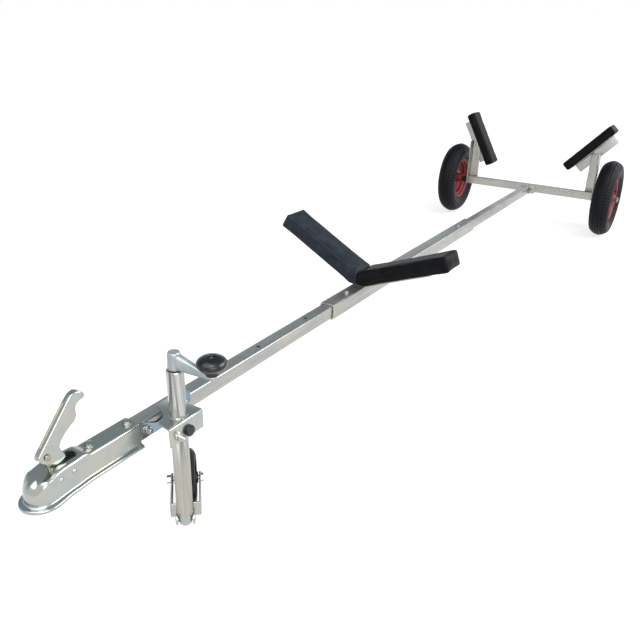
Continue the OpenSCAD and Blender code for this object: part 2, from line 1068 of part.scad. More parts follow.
module hub(side) {
    color(rim_red)
        parked()
            at_wheel(side)
                difference() {
                    cylinder(d = hub_d, h = 2 * hub_half, center = true);
                    cylinder(r = hub_bore_r, h = 4 * hub_half, center = true);
                }
}

module tyre_left() {
    tyre(1);
}

module rim_left() {
    rim(1);
}

module hub_left() {
    hub(1);
}

module tyre_right() {
    tyre(-1);
}

module rim_right() {
    rim(-1);
}

module hub_right() {
    hub(-1);
}

axle_beam();
stub_axles();
axle_collars();
post_left();
post_right();
pad_bracket_left();
pad_bracket_right();
post_bolts();
rear_pad_left();
rear_pad_right();
drawbar_rear();
drawbar_end_plate();
end_plate_bolts();
drawbar_sleeve();
sleeve_bolts();
drawbar_front();
cradle_plate();
cradle_bolt();
cradle_pad_left();
cradle_pad_right();
coupling_body();
coupling_bolts();
lever_pin();
coupling_lever();
jack_mount_plate();
jack_mount_bolts();
jack_housing();
jack_outer_tube();
lock_plunger();
lock_knob();
jack_crank();
crank_knob();
jack_leg();
jack_foot();
fork_pin();
jack_fork();
jockey_bolt();
jockey_tyre();
jockey_hub();
tyre_left();
rim_left();
hub_left();
tyre_right();
rim_right();
hub_right();
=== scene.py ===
import json
import math
import bpy
import bmesh
from mathutils import Matrix, Vector, noise


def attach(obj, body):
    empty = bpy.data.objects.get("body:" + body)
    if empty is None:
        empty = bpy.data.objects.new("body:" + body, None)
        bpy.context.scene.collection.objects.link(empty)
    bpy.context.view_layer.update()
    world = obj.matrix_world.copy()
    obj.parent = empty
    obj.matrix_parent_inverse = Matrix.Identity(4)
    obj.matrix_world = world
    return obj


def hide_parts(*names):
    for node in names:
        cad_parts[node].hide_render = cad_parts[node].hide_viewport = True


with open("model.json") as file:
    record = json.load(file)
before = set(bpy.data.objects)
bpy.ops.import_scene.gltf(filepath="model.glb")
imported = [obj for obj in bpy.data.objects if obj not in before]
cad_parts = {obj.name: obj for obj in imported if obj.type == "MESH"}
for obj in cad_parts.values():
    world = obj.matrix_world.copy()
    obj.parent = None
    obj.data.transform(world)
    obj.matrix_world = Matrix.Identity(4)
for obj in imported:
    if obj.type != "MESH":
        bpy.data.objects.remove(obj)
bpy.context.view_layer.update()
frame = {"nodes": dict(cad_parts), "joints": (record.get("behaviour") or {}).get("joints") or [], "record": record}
NODE = frame["nodes"]
JOINT = {j["name"]: j for j in frame["joints"]}

# ---------------------------------------------------------------- layout
# Pieces are laid out in metres with the drawbar level, and LEVEL turns that layout nose-up
# about the axle line, onto the jockey wheel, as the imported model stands.
up_axis = JOINT["crank_turn"]["axis"]
NOSE_UP = math.atan2(-up_axis[0], up_axis[2])
axle_at = Vector(JOINT["wheel_left_spin"]["pos_m"])
AXLE_Z = axle_at.z
LEVEL = (
    Matrix.Translation((axle_at.x, 0, AXLE_Z))
    @ Matrix.Rotation(-NOSE_UP, 4, "Y")
    @ Matrix.Translation((0, 0, -AXLE_Z))
)
UNLEVEL = LEVEL.inverted()


def lbox(node):
    """Lowest and highest corner of a CAD node in the level layout."""
    co = [UNLEVEL @ v.co for v in NODE[node].data.vertices]
    lo = Vector([min(c[i] for c in co) for i in range(3)])
    hi = Vector([max(c[i] for c in co) for i in range(3)])
    return lo, hi


def at(origin, z=(0, 0, 1), x=None):
    """Matrix with its origin there, local Z along z and local X as near x as it can be."""
    z = Vector(z).normalized()
    x = Vector(x or ((1, 0, 0) if abs(z.x) < 0.9 else (0, 1, 0)))
    y = z.cross(x).normalized()
    x = y.cross(z)
    m = Matrix((x, y, z)).transposed().to_4x4()
    m.translation = Vector(origin)
    return m


def shift(x=0.0, y=0.0, z=0.0):
    return Matrix.Translation((x, y, z))


def spin(degrees, axis="Z"):
    return Matrix.Rotation(math.radians(degrees), 4, axis)


def along_x(y=0.0, z=0.0, x=0.0):
    """Matrix that lays local Z along +X, with local X along +Y."""
    return at((x, y, z), (1, 0, 0), (0, 1, 0))


def along_y(x, y, z, sign=1):
    """Matrix that lays local Z along +Y or -Y."""
    return at((x, y, z), (0, sign, 0), (1, 0, 0))


ALONG_X = along_x()
BOLT_HOLE = 0.0055
WASHER_T = 0.0018
# swaps Y and Z, so that a shape drawn in XY stands up in XZ
FLIP = Matrix(((1, 0, 0, 0), (0, 0, 1, 0), (0, 1, 0, 0), (0, 0, 0, 1)))


# ---------------------------------------------------------------- materials
class Tree:
    """A node tree with short ways to add nodes. Inputs take a socket or a value."""

    def __init__(self, owner, clear=True):
        owner.use_nodes = True
        self.t = owner.node_tree
        if clear:
            self.t.nodes.clear()

    def new(self, kind, inputs=None, **props):
        n = self.t.nodes.new(kind)
        for k, v in props.items():
            setattr(n, k, v)
        for k, v in (inputs or {}).items():
            self.put(n.inputs[k], v)
        return n

    def put(self, socket, value):
        if isinstance(value, bpy.types.NodeSocket):
            self.t.links.new(value, socket)
        elif value is not None:
            socket.default_value = (*value, 1) if socket.type == "RGBA" else value

    def math(self, op, *values):
        return self.new("ShaderNodeMath", dict(enumerate(values)), operation=op).outputs[0]

    def mix(self, fac, a, b):
        return self.new("ShaderNodeMix", {0: fac, 6: a, 7: b}, data_type="RGBA").outputs[2]

    def blend(self, fac, a, b):
        """Shader that goes from a to b."""
        return self.new("ShaderNodeMixShader", {0: fac, 1: a, 2: b}).outputs[0]

    def span(self, fac, lo, hi, out_lo=0.0, out_hi=1.0):
        """fac taken from lo..hi to out_lo..out_hi, and held at the ends."""
        values = dict(enumerate((fac, lo, hi, out_lo, out_hi)))
        return self.new("ShaderNodeMapRange", values, clamp=True).outputs[0]

    def seen(self):
        """Two sockets, 1 or 0: rays from camera, gloss or glass, and the camera's alone."""
        ray = self.new("ShaderNodeLightPath").outputs
        either = self.math("MAXIMUM", ray["Is Camera Ray"], ray["Is Glossy Ray"])
        return self.math("MAXIMUM", either, ray["Is Transmission Ray"]), ray["Is Camera Ray"]


class Surface(Tree):
    """A Principled material whose textures lie in the object's own space."""

    def __init__(self, name):
        self.m = bpy.data.materials.new(name)
        super().__init__(self.m, clear=False)
        self.b = self.t.nodes["Principled BSDF"]
        self.obj = self.new("ShaderNodeTexCoord").outputs["Object"]

    def scaled(self, scale):
        return self.new("ShaderNodeMapping", {"Scale": scale, "Vector": self.obj}).outputs[0]

    def noise(self, scale, detail=3.0, rough=0.55, vec=None):
        values = {"Scale": scale, "Detail": detail, "Roughness": rough, "Vector": vec or self.obj}
        return self.new("ShaderNodeTexNoise", values).outputs["Fac"]

    def cells(self, scale, feature="F1", out="Color"):
        values = {"Scale": scale, "Vector": self.obj}
        return self.new("ShaderNodeTexVoronoi", values, feature=feature).outputs[out]

    def bump(self, height, strength, distance, under=None):
        values = {"Strength": strength, "Distance": distance, "Height": height, "Normal": under}
        return self.new("ShaderNodeBump", values).outputs[0]

    def out(self, color, rough, normal, **fixed):
        values = {"Base Color": color, "Roughness": rough, "Normal": normal}
        values.update((k.replace("_", " "), v) for k, v in fixed.items())
        for k, v in values.items():
            self.put(self.b.inputs[k], v)
        return self.m


def make_galvanised():
    g = Surface("galvanised")
    tone = g.new("ShaderNodeSeparateColor", {0: g.cells(85)}).outputs
    streak = g.noise(1, 4, 0.6, g.scaled((7, 170, 170)))
    color = g.mix(g.span(g.noise(5.5, 4, 0.6), 0.35, 0.65), (0.345, 0.355, 0.35), (0.405, 0.39, 0.35))
    color = g.mix(g.span(tone[0], 0, 1, 0, 0.10), color, (0.50, 0.50, 0.485))
    color = g.mix(g.span(streak, 0.50, 0.72, 0, 0.34), color, (0.24, 0.245, 0.24))
    color = g.mix(g.span(streak, 0.48, 0.34, 0, 0.22), color, (0.60, 0.60, 0.58))
    rough = g.math("ADD", g.span(tone[1], 0, 1, 0.25, 0.32), g.span(g.noise(14, 2), 0.3, 0.7, -0.03, 0.08))
    n = g.bump(g.noise(300, 3), 0.05, 0.0004)
    n = g.bump(streak, 0.07, 0.0006, n)
    return g.out(color, rough, n, Metallic=0.88)


def make_zinc(name="zinc", warm=(0.43, 0.42, 0.365), cool=(0.37, 0.40, 0.39), blue=(0.28, 0.35, 0.39)):
    g = Surface(name)
    a, b = g.noise(26, 3), g.noise(9, 3)
    color = g.mix(g.span(b, 0.35, 0.65), cool, warm)
    color = g.mix(g.span(a, 0.5, 0.75, 0, 0.5), color, blue)
    fine = g.noise(1, 3, 0.6, g.scaled((120, 900, 900)))
    rough = g.math("ADD", g.span(a, 0.3, 0.7, 0.14, 0.24), g.span(fine, 0.3, 0.7, -0.02, 0.05))
    n = g.bump(g.noise(260, 3), 0.08, 0.0005)
    n = g.bump(fine, 0.04, 0.0003, n)
    return g.out(color, rough, n, Metallic=0.93)


def make_tube_zinc_painted_stripes():
    """Zinc with painted reflection stripes along the tube, the same bands also varying its roughness and bump:
    paler on the jack's outer tube, darker on the leg below.
    """
    g = Surface("zinc_tube_painted_stripes")
    upper_share = g.span(g.new("ShaderNodeSeparateXYZ", {0: g.obj}).outputs[2], 0.20, 0.27)
    ridge_and_reflection_band = g.noise(1, 3, 0.55, g.scaled((120, 120, 2.5)))
    fine = g.noise(1, 3, 0.6, g.scaled((420, 420, 9)))
    dark = g.mix(upper_share, (0.37, 0.355, 0.315), (0.20, 0.205, 0.20))
    pale = g.mix(upper_share, (0.43, 0.415, 0.37), (0.66, 0.66, 0.63))
    # the bands paint dark and pale reflection stripes into the tube's colour
    color = g.mix(g.span(ridge_and_reflection_band, 0.36, 0.62), pale, dark)
    color = g.mix(g.span(fine, 0.55, 0.75, 0, 0.3), color, (0.27, 0.27, 0.255))
    return g.out(color, g.span(ridge_and_reflection_band, 0.3, 0.7, 0.16, 0.30), g.bump(ridge_and_reflection_band, 0.12, 0.0008), Metallic=0.9)


def make_casting():
    g = Surface("silver_casting")
    a = g.noise(40, 4)
    color = g.mix(g.span(a, 0.3, 0.7), (0.27, 0.305, 0.32), (0.37, 0.395, 0.40))
    n = g.bump(g.noise(700, 3, 0.7), 0.25, 0.0005)
    n = g.bump(a, 0.1, 0.001, n)
    return g.out(color, g.span(g.noise(120, 3), 0.3, 0.7, 0.36, 0.5), n, Metallic=0.7)


def make_rubber():
    g = Surface("tyre_rubber")
    dust = g.noise(24, 5, 0.65)
    color = g.mix(g.span(dust, 0.45, 0.75, 0, 0.5), (0.003, 0.0035, 0.005), (0.010, 0.011, 0.014))
    n = g.bump(g.noise(900, 3, 0.6), 0.3, 0.0004)
    return g.out(color, g.span(dust, 0.35, 0.7, 0.42, 0.6), n, Metallic=0, Specular_IOR_Level=0.14)


def make_pad(name="pad_vinyl", low=(0.003, 0.0031, 0.0038), high=(0.0062, 0.0066, 0.0085)):
    g = Surface(name)
    warp = g.noise(35, 4)
    grain = g.cells(1100, feature="SMOOTH_F1", out="Distance")
    n = g.bump(g.noise(11, 3), 0.25, 0.004)
    n = g.bump(grain, 0.22, 0.0005, n)
    rough = g.math("ADD", g.span(warp, 0.3, 0.7, 0.36, 0.46), g.span(grain, 0, 0.8, 0, 0.06))
    return g.out(g.mix(g.span(warp, 0.35, 0.7), low, high), rough, n, Metallic=0, Specular_IOR_Level=0.07)


def make_red():
    g = Surface("rim_red_paint")
    a = g.noise(18, 4)
    color = g.mix(g.span(a, 0.3, 0.7), (0.165, 0.0095, 0.0145), (0.215, 0.015, 0.021))
    color = g.mix(g.span(g.noise(55, 5, 0.7), 0.64, 0.72, 0, 0.5), color, (0.06, 0.02, 0.02))
    n = g.bump(g.noise(420, 2), 0.08, 0.0005)
    return g.out(color, g.span(a, 0.3, 0.7, 0.40, 0.52), n, Metallic=0, Specular_IOR_Level=0.3)


def make_mottled(name, low, high, rough, scale, bump, where=(0.3, 0.7), **fixed):
    """A surface that drifts between two colours, with a fine bump of (scale, detail, strength, depth)."""
    g = Surface(name)
    a = g.noise(*scale)
    n = g.bump(g.noise(*bump[:2]), *bump[2:])
    return g.out(g.mix(g.span(a, *where), low, high), g.span(a, 0.3, 0.7, *rough), n, **fixed)


def make_plastic(name, base, rough):
    light = tuple(c * 1.7 for c in base)
    return make_mottled(name, base, light, rough, (50, 4), (600, 2, 0.05, 0.0003),
                        Metallic=0, Specular_IOR_Level=0.4)


def make_steel_dark(name):
    low, high = (0.10, 0.105, 0.11), (0.19, 0.19, 0.185)
    return make_mottled(name, low, high, (0.4, 0.6), (60, 4), (300, 3, 0.2, 0.0005), Metallic=0.7)


GALV = make_galvanised()
ZINC = make_zinc()
# darker, bluer copy of the zinc for the jack's back plate and the bracket's end webs: painted shade under the
# bracket's top
ZINC_PAINTED_SHADE = make_zinc("zinc_blue_painted_shade", (0.27, 0.33, 0.375), (0.18, 0.26, 0.335), (0.09, 0.155, 0.24))
TUBE_ZINC_STRIPED = make_tube_zinc_painted_stripes()
GOLD = make_mottled("zinc_passivated", (0.34, 0.27, 0.13), (0.36, 0.33, 0.27), (0.22, 0.34), (70, 3),
                    (500, 2, 0.06, 0.0003), where=(0.35, 0.65), Metallic=0.9)
CAST = make_casting()
RUBBER = make_rubber()
PAD = make_pad()
# bluish copy of the vinyl for one cradle board: painted reflection of a cool surround on its top
PAD_PAINTED_SHEEN = make_pad("pad_vinyl_painted_sheen", (0.013, 0.0165, 0.0225), (0.024, 0.030, 0.040))
RED = make_red()
BLACK = make_plastic("black_plastic", (0.005, 0.005, 0.006), (0.16, 0.26))
SATIN = make_plastic("black_satin", (0.007, 0.007, 0.008), (0.34, 0.46))
INDICATOR = make_plastic("indicator_red", (0.11, 0.018, 0.024), (0.3, 0.4))
DARK = make_steel_dark("steel_shadow")
WELD = make_steel_dark("weld")
MAT_OF_SLOT = {
    "galvanised": GALV, "zinc": ZINC, "cast_grey": CAST, "tyre": RUBBER,
    "rim_red": RED, "pad": PAD, "black_plastic": BLACK,
}


# ---------------------------------------------------------------- shapes
# A shape is a list of points and a list of faces.
def mirrored(half):
    """A section up to the middle plane z = 0, continued with its mirror image."""
    return half + [(r, -z) for r, z in reversed(half) if z]


def arc(cx, cy, r, angles, ry=None):
    """Points on a circle, or an ellipse with ry, at angles in degrees."""
    turns = [math.radians(a) for a in angles]
    return [(cx + r * math.cos(a), cy + (ry or r) * math.sin(a)) for a in turns]


def steps(a, b, n):
    return [a + (b - a) * i / n for i in range(n + 1)]


def lerp(a, b, t):
    return a + (b - a) * t


def ease(t):
    """Soft step from 0 to 1."""
    t = max(0.0, min(1.0, t))
    return t * t * (3 - 2 * t)


def rounded(points, radii, n=5):
    """Polygon with its corners rounded; radii is one number or one a corner."""
    out = []
    k = len(points)
    for i, p in enumerate(points):
        r = radii if isinstance(radii, (int, float)) else radii[i]
        p, a, b = Vector(p), Vector(points[i - 1]), Vector(points[(i + 1) % k])
        u, v = (a - p), (b - p)
        lu, lv = u.length, v.length
        if r <= 0:
            out.append((p.x, p.y))
            continue
        u, v = u / lu, v / lv
        ang = math.acos(max(-1, min(1, u.dot(v))))
        if ang > math.pi - 1e-3:
            out.append((p.x, p.y))
            continue
        d = min(r / math.tan(ang / 2), lu * 0.49, lv * 0.49)
        rr = d * math.tan(ang / 2)
        c = p + (u + v).normalized() * (rr / math.sin(ang / 2))
        s, e = p + u * d - c, p + v * d - c
        a0, a1 = math.atan2(s.y, s.x), math.atan2(e.y, e.x)
        da = (a1 - a0 + math.pi) % (2 * math.pi) - math.pi
        out += arc(c.x, c.y, rr, [math.degrees(a0 + da * j / n) for j in range(n + 1)])
    return out


def smooth_line(points, n=6, closed=False):
    """Catmull-Rom curve through 2-D or 3-D points, n steps from each to the next."""
    pts = [Vector(p) for p in points]
    k = len(pts)
    out = []
    for i in range(k if closed else k - 1):
        near = [(i + j) % k if closed else min(max(i + j, 0), k - 1) for j in (-1, 0, 1, 2)]
        p0, p1, p2, p3 = (pts[j] for j in near)
        for t in (j / n for j in range(n)):
            square, cube = 2 * p0 - 5 * p1 + 4 * p2 - p3, 3 * p1 - p0 - 3 * p2 + p3
            out.append(0.5 * (2 * p1 + (p2 - p0) * t + square * t * t + cube * t * t * t))
    if not closed:
        out.append(pts[-1])
    return [tuple(p) for p in out]


def skin(rings, closed=False):
    """Joins equal rings of points; closed joins the last to the first, or else both ends get a cap."""
    n, k = len(rings[0]), len(rings)
    f = []
    for i in range(k if closed else k - 1):
        a, b = i * n, (i + 1) % k * n
        f += [[a + j, a + (j + 1) % n, b + (j + 1) % n, b + j] for j in range(n)]
    if not closed:
        f += [list(range(n))[::-1], list(range((k - 1) * n, k * n))]
    return [p for ring in rings for p in ring], f


def lathe(profile, segs=64, closed=True):
    """Shape turned about Z from (r, z) points; a closed profile is a ring."""
    v, f, rows = [], [], []
    for r, z in profile:
        if r < 1e-7:
            rows.append([len(v)] * segs)
            v.append((0, 0, z))
        else:
            rows.append([len(v) + i for i in range(segs)])
            v += [(x, y, z) for x, y in arc(0, 0, r, [360 * i / segs for i in range(segs)])]
    pairs = list(zip(rows, rows[1:])) + ([(rows[-1], rows[0])] if closed else [])
    for a, b in pairs:
        for i in range(segs):
            j = (i + 1) % segs
            quad = [a[i], a[j], b[j], b[i]]
            quad = [q for k, q in enumerate(quad) if q not in quad[:k]]
            if len(quad) > 2:
                f.append(quad)
    return v, f


def turned(profile, segs):
    """Solid turned about Z from a profile that starts and ends on the axis."""
    return lathe(profile, segs, closed=False)


def rod(r, z0, z1, segs=32):
    return turned([(0, z0), (r, z0), (r, z1), (0, z1)], segs)


def prism(poly, z0, z1):
    """Polygon in XY extruded from z0 to z1."""
    return skin([[(x, y, z) for x, y in poly] for z in (z0, z1)])


def block(x0, x1, y0, y1, z0, z1):
    return prism([(x0, y0), (x1, y0), (x1, y1), (x0, y1)], z0, z1)


def sweep(path, radius, sides=8, closed=False):
    """Round bar along a 3-D path; radius is a number or one a point."""
    pts = [Vector(p) for p in path]
    k = len(pts)
    rings = []
    side = None
    for i, p in enumerate(pts):
        if closed:
            d = (pts[(i + 1) % k] - pts[i - 1]).normalized()
        else:
            d = (pts[min(i + 1, k - 1)] - pts[max(i - 1, 0)]).normalized()
        if side is None:
            side = d.orthogonal().normalized()
        side = (side - d * side.dot(d)).normalized()
        other = d.cross(side)
        r = radius if isinstance(radius, (int, float)) else radius[i]
        ring = arc(0, 0, r, [360 * j / sides for j in range(sides)])
        rings.append([p + side * x + other * y for x, y in ring])
    return skin(rings, closed)


def bead(path, r, ripple=(0.16, 1.9), lumps=(0.14, 160), seed=0.0, closed=False):
    """A run of weld along a fine path: ripples of (size, pace) and lumps of (size, scale)."""
    radii = []
    for i, p in enumerate(path):
        swell = ripple[0] * math.sin(i * ripple[1] + seed) + lumps[0] * noise.noise(Vector(p) * lumps[1])
        radii.append(r * (1 + swell))
    return sweep(path, radii, closed=closed)


def between(a, b, n):
    """n even steps from point a towards b, without b itself."""
    return [tuple(Vector(a).lerp(Vector(b), i / n)) for i in range(n)]


def hex_head(across, height, segs=48):
    """Hexagon head or nut from z = 0 to height, its top corners turned off."""
    rc = across / 2 * 0.96
    bottom, top, ring = [], [], []
    for i in range(segs):
        a = 2 * math.pi * i / segs
        r = across / 2 / math.cos((a % (math.pi / 3)) - math.pi / 6)
        c, s = math.cos(a), math.sin(a)
        bottom.append((r * c, r * s, 0))
        top.append((r * c, r * s, height - max(0.0, r - rc) * 0.55))
        ring.append((rc * c * 0.97, rc * s * 0.97, height))
    return skin([bottom, top, ring])


def threaded(r, z0, z1, pitch=0.0015):
    """Threaded bar drawn as fine rings, chamfered at z1."""
    prof = [(0, z0)]
    z = z0
    while z < z1 - 0.0016:
        prof += [(r, z), (r, z + pitch * 0.35), (r - pitch * 0.45, z + pitch * 0.6)]
        z += pitch
    return turned(prof + [(r, z), (r * 0.82, z1), (0, z1)], 24)


def washer(r_in, r_out, z0, z1):
    b = 0.0003
    outer = [(r_out - b, z0), (r_out, z0 + b), (r_out, z1 - b), (r_out - b, z1)]
    return lathe([(r_in, z0)] + outer + [(r_in, z1)], 40)


def square_loop(half, r, n=5):
    return rounded([(-half, -half), (half, -half), (half, half), (-half, half)], r, n)


def square_tube(x0, x1, side, wall, r=0.0042):
    """Cold-formed square tube along local Z, with round corners and softened ends."""
    h, lip = side / 2, 0.0006
    rows = [(x0, h - lip, r), (x0 + lip, h, r), (x1 - lip, h, r), (x1, h - lip, r)]
    rows += [(x1, h - wall, r / 2), (x0, h - wall, r / 2)]
    rings = [[(x, y, z) for x, y in square_loop(half, radius)] for z, half, radius in rows]
    return skin(rings, closed=True)


# ---------------------------------------------------------------- objects
def linked(name, data):
    """New object in the scene."""
    o = bpy.data.objects.new(name, data)
    bpy.context.scene.collection.objects.link(o)
    return o


def put_shape(bm, shape, m=None, mat=0):
    made = [bm.verts.new(m @ Vector(v) if m else Vector(v)) for v in shape[0]]
    for f in shape[1]:
        try:
            bm.faces.new([made[i] for i in f]).material_index = mat
        except ValueError:
            pass  # that face is there already


def mesh_from(name, bm):
    """Mesh with its normals outward; the bmesh is freed."""
    bmesh.ops.recalc_face_normals(bm, faces=bm.faces)
    me = bpy.data.meshes.new(name)
    bm.to_mesh(me)
    bm.free()
    return me


def finish_mesh(me, angle):
    """Smooth faces, with edges sharper than the angle kept sharp."""
    me.polygons.foreach_set("use_smooth", [True] * len(me.polygons))
    me.set_sharp_from_angle(angle=math.radians(angle))
    me.update()


class Piece:
    """Collects shapes in the level layout and makes one object that rides a body."""

    def __init__(self, name, body, slot):
        self.name, self.body, self.slot = name, body, slot
        self.bm = bmesh.new()
        self.mats = []

    def add(self, shape, mat, m=None):
        if mat not in self.mats:
            self.mats.append(mat)
        put_shape(self.bm, shape, m, self.mats.index(mat))

    def bevel(self, width, segments=2, angle=28):
        """Rounds the edges that are sharper than the angle."""
        bm = self.bm
        bmesh.ops.remove_doubles(bm, verts=bm.verts, dist=1e-6)
        bmesh.ops.recalc_face_normals(bm, faces=bm.faces)
        sharp = math.radians(angle)
        edges = [e for e in bm.edges if len(e.link_faces) == 2 and e.calc_face_angle(0) > sharp]
        bmesh.ops.bevel(bm, geom=edges, offset=width, segments=segments, profile=0.5,
                        affect="EDGES", clamp_overlap=True)

    def make(self, replaces=(), angle=32):
        bmesh.ops.remove_doubles(self.bm, verts=self.bm.verts, dist=1e-7)
        me = mesh_from(self.name, self.bm)
        me.transform(LEVEL)
        for mat in self.mats:
            me.materials.append(mat)
        finish_mesh(me, angle)
        o = linked(self.name, me)
        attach(o, self.body)
        if replaces:
            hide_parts(*replaces)
        return o


def apply_modifiers(o):
    me = bpy.data.meshes.new_from_object(o.evaluated_get(bpy.context.evaluated_depsgraph_get()))
    o.modifiers.clear()
    old = o.data
    o.data = me
    bpy.data.meshes.remove(old)


def cutter(shape, m=None):
    """Temporary object that cuts, in the level layout."""
    bm = bmesh.new()
    put_shape(bm, shape, m)
    me = mesh_from("cutter", bm)
    me.transform(LEVEL)
    return linked("cutter", me)


def hole(origin, direction, length, r=BOLT_HOLE, segs=32):
    """Cutter for a round hole, centred at the origin given."""
    return cutter(rod(r, -length / 2, length / 2, segs), at(origin, direction))


def cut(obj, cutters, angle=32):
    """Cuts the shapes out of obj and applies the result to its mesh."""
    for c in cutters:
        m = obj.modifiers.new("cut", "BOOLEAN")
        m.operation, m.solver, m.object = "DIFFERENCE", "EXACT", c
    apply_modifiers(obj)
    for c in cutters:
        data = c.data
        bpy.data.objects.remove(c)
        bpy.data.meshes.remove(data)
    finish_mesh(obj.data, angle)


def slice_off(bm, planes):
    """Takes off everything beyond each plane; planes are (point, outward normal)."""
    for co, no in planes:
        geom = bm.verts[:] + bm.edges[:] + bm.faces[:]
        r = bmesh.ops.bisect_plane(bm, geom=geom, plane_co=co, plane_no=no, clear_outer=True)
        edges = [e for e in r["geom_cut"] if isinstance(e, bmesh.types.BMEdge)]
        bmesh.ops.contextual_create(bm, geom=edges)


def bolt(piece, m, length, d=0.010, tail=0.007, turn=0.0):
    """Hex bolt along local Z: head above z = 0, shank through length, nut and thread below."""
    m = m @ Matrix.Rotation(turn, 4, "Z")
    t = WASHER_T
    low = m @ shift(z=-length - t) @ spin(180, "X")
    piece.add(washer(d / 2 * 1.05, d, 0, t), ZINC, m)
    piece.add(hex_head(d * 1.65, d * 0.62), ZINC, m @ shift(z=t))
    piece.add(turned([(0, t), (d / 2, t), (d / 2, -length), (0, -length)], 24), ZINC, m)
    piece.add(washer(d / 2 * 1.05, d, -length - t, -length), ZINC, m)
    piece.add(hex_head(d * 1.65, d * 0.78), ZINC, low)
    piece.add(threaded(d / 2, 0, d * 0.78 + tail), ZINC, low)


# ---------------------------------------------------------------- drawbar, axle and posts
TUBE, SLEEVE = 0.040, 0.050
front_lo, front_hi = lbox("drawbar_front")
rear_lo, rear_hi = lbox("drawbar_rear")
sl_lo, sl_hi = lbox("drawbar_sleeve")
ZB = (front_lo.z + front_hi.z) / 2
# places of the bolts and spare holes along the drawbar
SPARE = (2.313, 2.546, 2.898)
JOINT_FRONT, JOINT_REAR, CRADLE_X = 2.070, 1.087, 1.953
COUPLING_BOLTS = (3.016, 3.117)
MOUNT_BOLTS, MOUNT_Z = (2.860, 2.985), ZB + 0.003
UP, ACROSS, ALONG = (0, 0, 1), (0, 1, 0), (1, 0, 0)

p = Piece("drawbar_front_tube", "chassis", "galvanised")
p.add(square_tube(front_lo.x, front_hi.x, TUBE, 0.003), GALV, along_x(0, ZB))
front = p.make(["drawbar_front"])
cut(front, [hole((x, 0, ZB), UP, 0.06) for x in (JOINT_FRONT,) + SPARE + COUPLING_BOLTS]
    + [hole((x, 0, MOUNT_Z), ACROSS, 0.08) for x in MOUNT_BOLTS])

p = Piece("drawbar_rear_tube", "chassis", "galvanised")
p.add(square_tube(rear_lo.x, rear_hi.x, TUBE, 0.003), GALV, along_x(0, ZB))
rear = p.make(["drawbar_rear"])
cut(rear, [hole((JOINT_REAR, 0, ZB), UP, 0.06)])

p = Piece("drawbar_sleeve_tube", "chassis", "galvanised")
p.add(square_tube(sl_lo.x, sl_hi.x, SLEEVE, 0.004, r=0.0055), GALV, along_x(0, ZB))
sleeve = p.make(["drawbar_sleeve"])
cut(sleeve, [hole((x, 0, ZB), UP, 0.08) for x in (JOINT_REAR, CRADLE_X, JOINT_FRONT)])

p = Piece("sleeve_bolt_set", "chassis", "zinc")
for i, x in enumerate((JOINT_REAR, JOINT_FRONT)):
    bolt(p, at((x, 0, sl_hi.z)), SLEEVE, turn=0.3 + i)
p.make(["sleeve_bolts"])

beam_lo, beam_hi = lbox("axle_beam")
p = Piece("axle_beam_tube", "chassis", "galvanised")
p.add(square_tube(beam_lo.y, beam_hi.y, TUBE, 0.003), GALV, along_y(0, 0, AXLE_Z))
p.make(["axle_beam"])

# end plate: the drawbar's flange, bolted to the beam
ep_lo, ep_hi = lbox("drawbar_end_plate")
p = Piece("drawbar_flange", "chassis", "galvanised")
loop = rounded([(ep_lo.y, ep_lo.z), (ep_hi.y, ep_lo.z), (ep_hi.y, ep_hi.z), (ep_lo.y, ep_hi.z)], 0.004, 4)
p.add(prism(loop, ep_lo.x, ep_hi.x), GALV, ALONG_X)
p.bevel(0.0007, 2, 60)
p.make(["drawbar_end_plate"])
p = Piece("drawbar_flange_weld", "chassis", "galvanised")
ring = [(ep_hi.x + 0.001, y, ZB + z) for y, z in square_loop(TUBE / 2 + 0.001, 0.004, 4)]
pts = []
for a, b in zip(ring, ring[1:] + ring[:1]):
    pts += between(a, b, max(1, int((Vector(b) - Vector(a)).length / 0.0022)))
p.add(bead(pts, 0.0026, (0.2, 1.7), (0.2, 220), closed=True), GALV)
p.make()

p = Piece("flange_bolt_set", "chassis", "zinc")
for i, s in enumerate((-1, 1)):
    bolt(p, along_x(s * 0.035, AXLE_Z - 0.003, ep_hi.x), TUBE + 0.005, turn=0.2 + 0.7 * i)
p.make(["end_plate_bolts"])


def angle_profile(a, t, r_in=0.005, r_toe=0.002, r_out=0.001):
    """Rolled steel angle in XY with its outer corner at the origin."""
    pts = [(0, 0), (a, 0), (a, t), (t, t), (t, a), (0, a)]
    return rounded(pts, [r_out, 0.0006, r_toe, r_in, r_toe, 0.0006], 4)


POST_BACK, POST_OUT, ANGLE, ANGLE_T = -0.025, 0.359, 0.050, 0.005
PAD_Y = 0.299
PAD_L, PAD_W, PAD_T = 0.306, 0.100, 0.044
POST_TOP = 0.424
# side, height and tilt of the two rear boards
REAR = {"left": (1, 0.454, 47.0), "right": (-1, 0.441, 61.0)}
POST_BOLT_Y, POST_BOLT_Z = POST_OUT - ANGLE / 2, 0.404


def tilt_matrix(side, y, z, tilt, x=0.0):
    """Frame of a board on one side, tilted down towards the middle."""
    return shift(x, side * y, z) @ spin(side * tilt, "X")


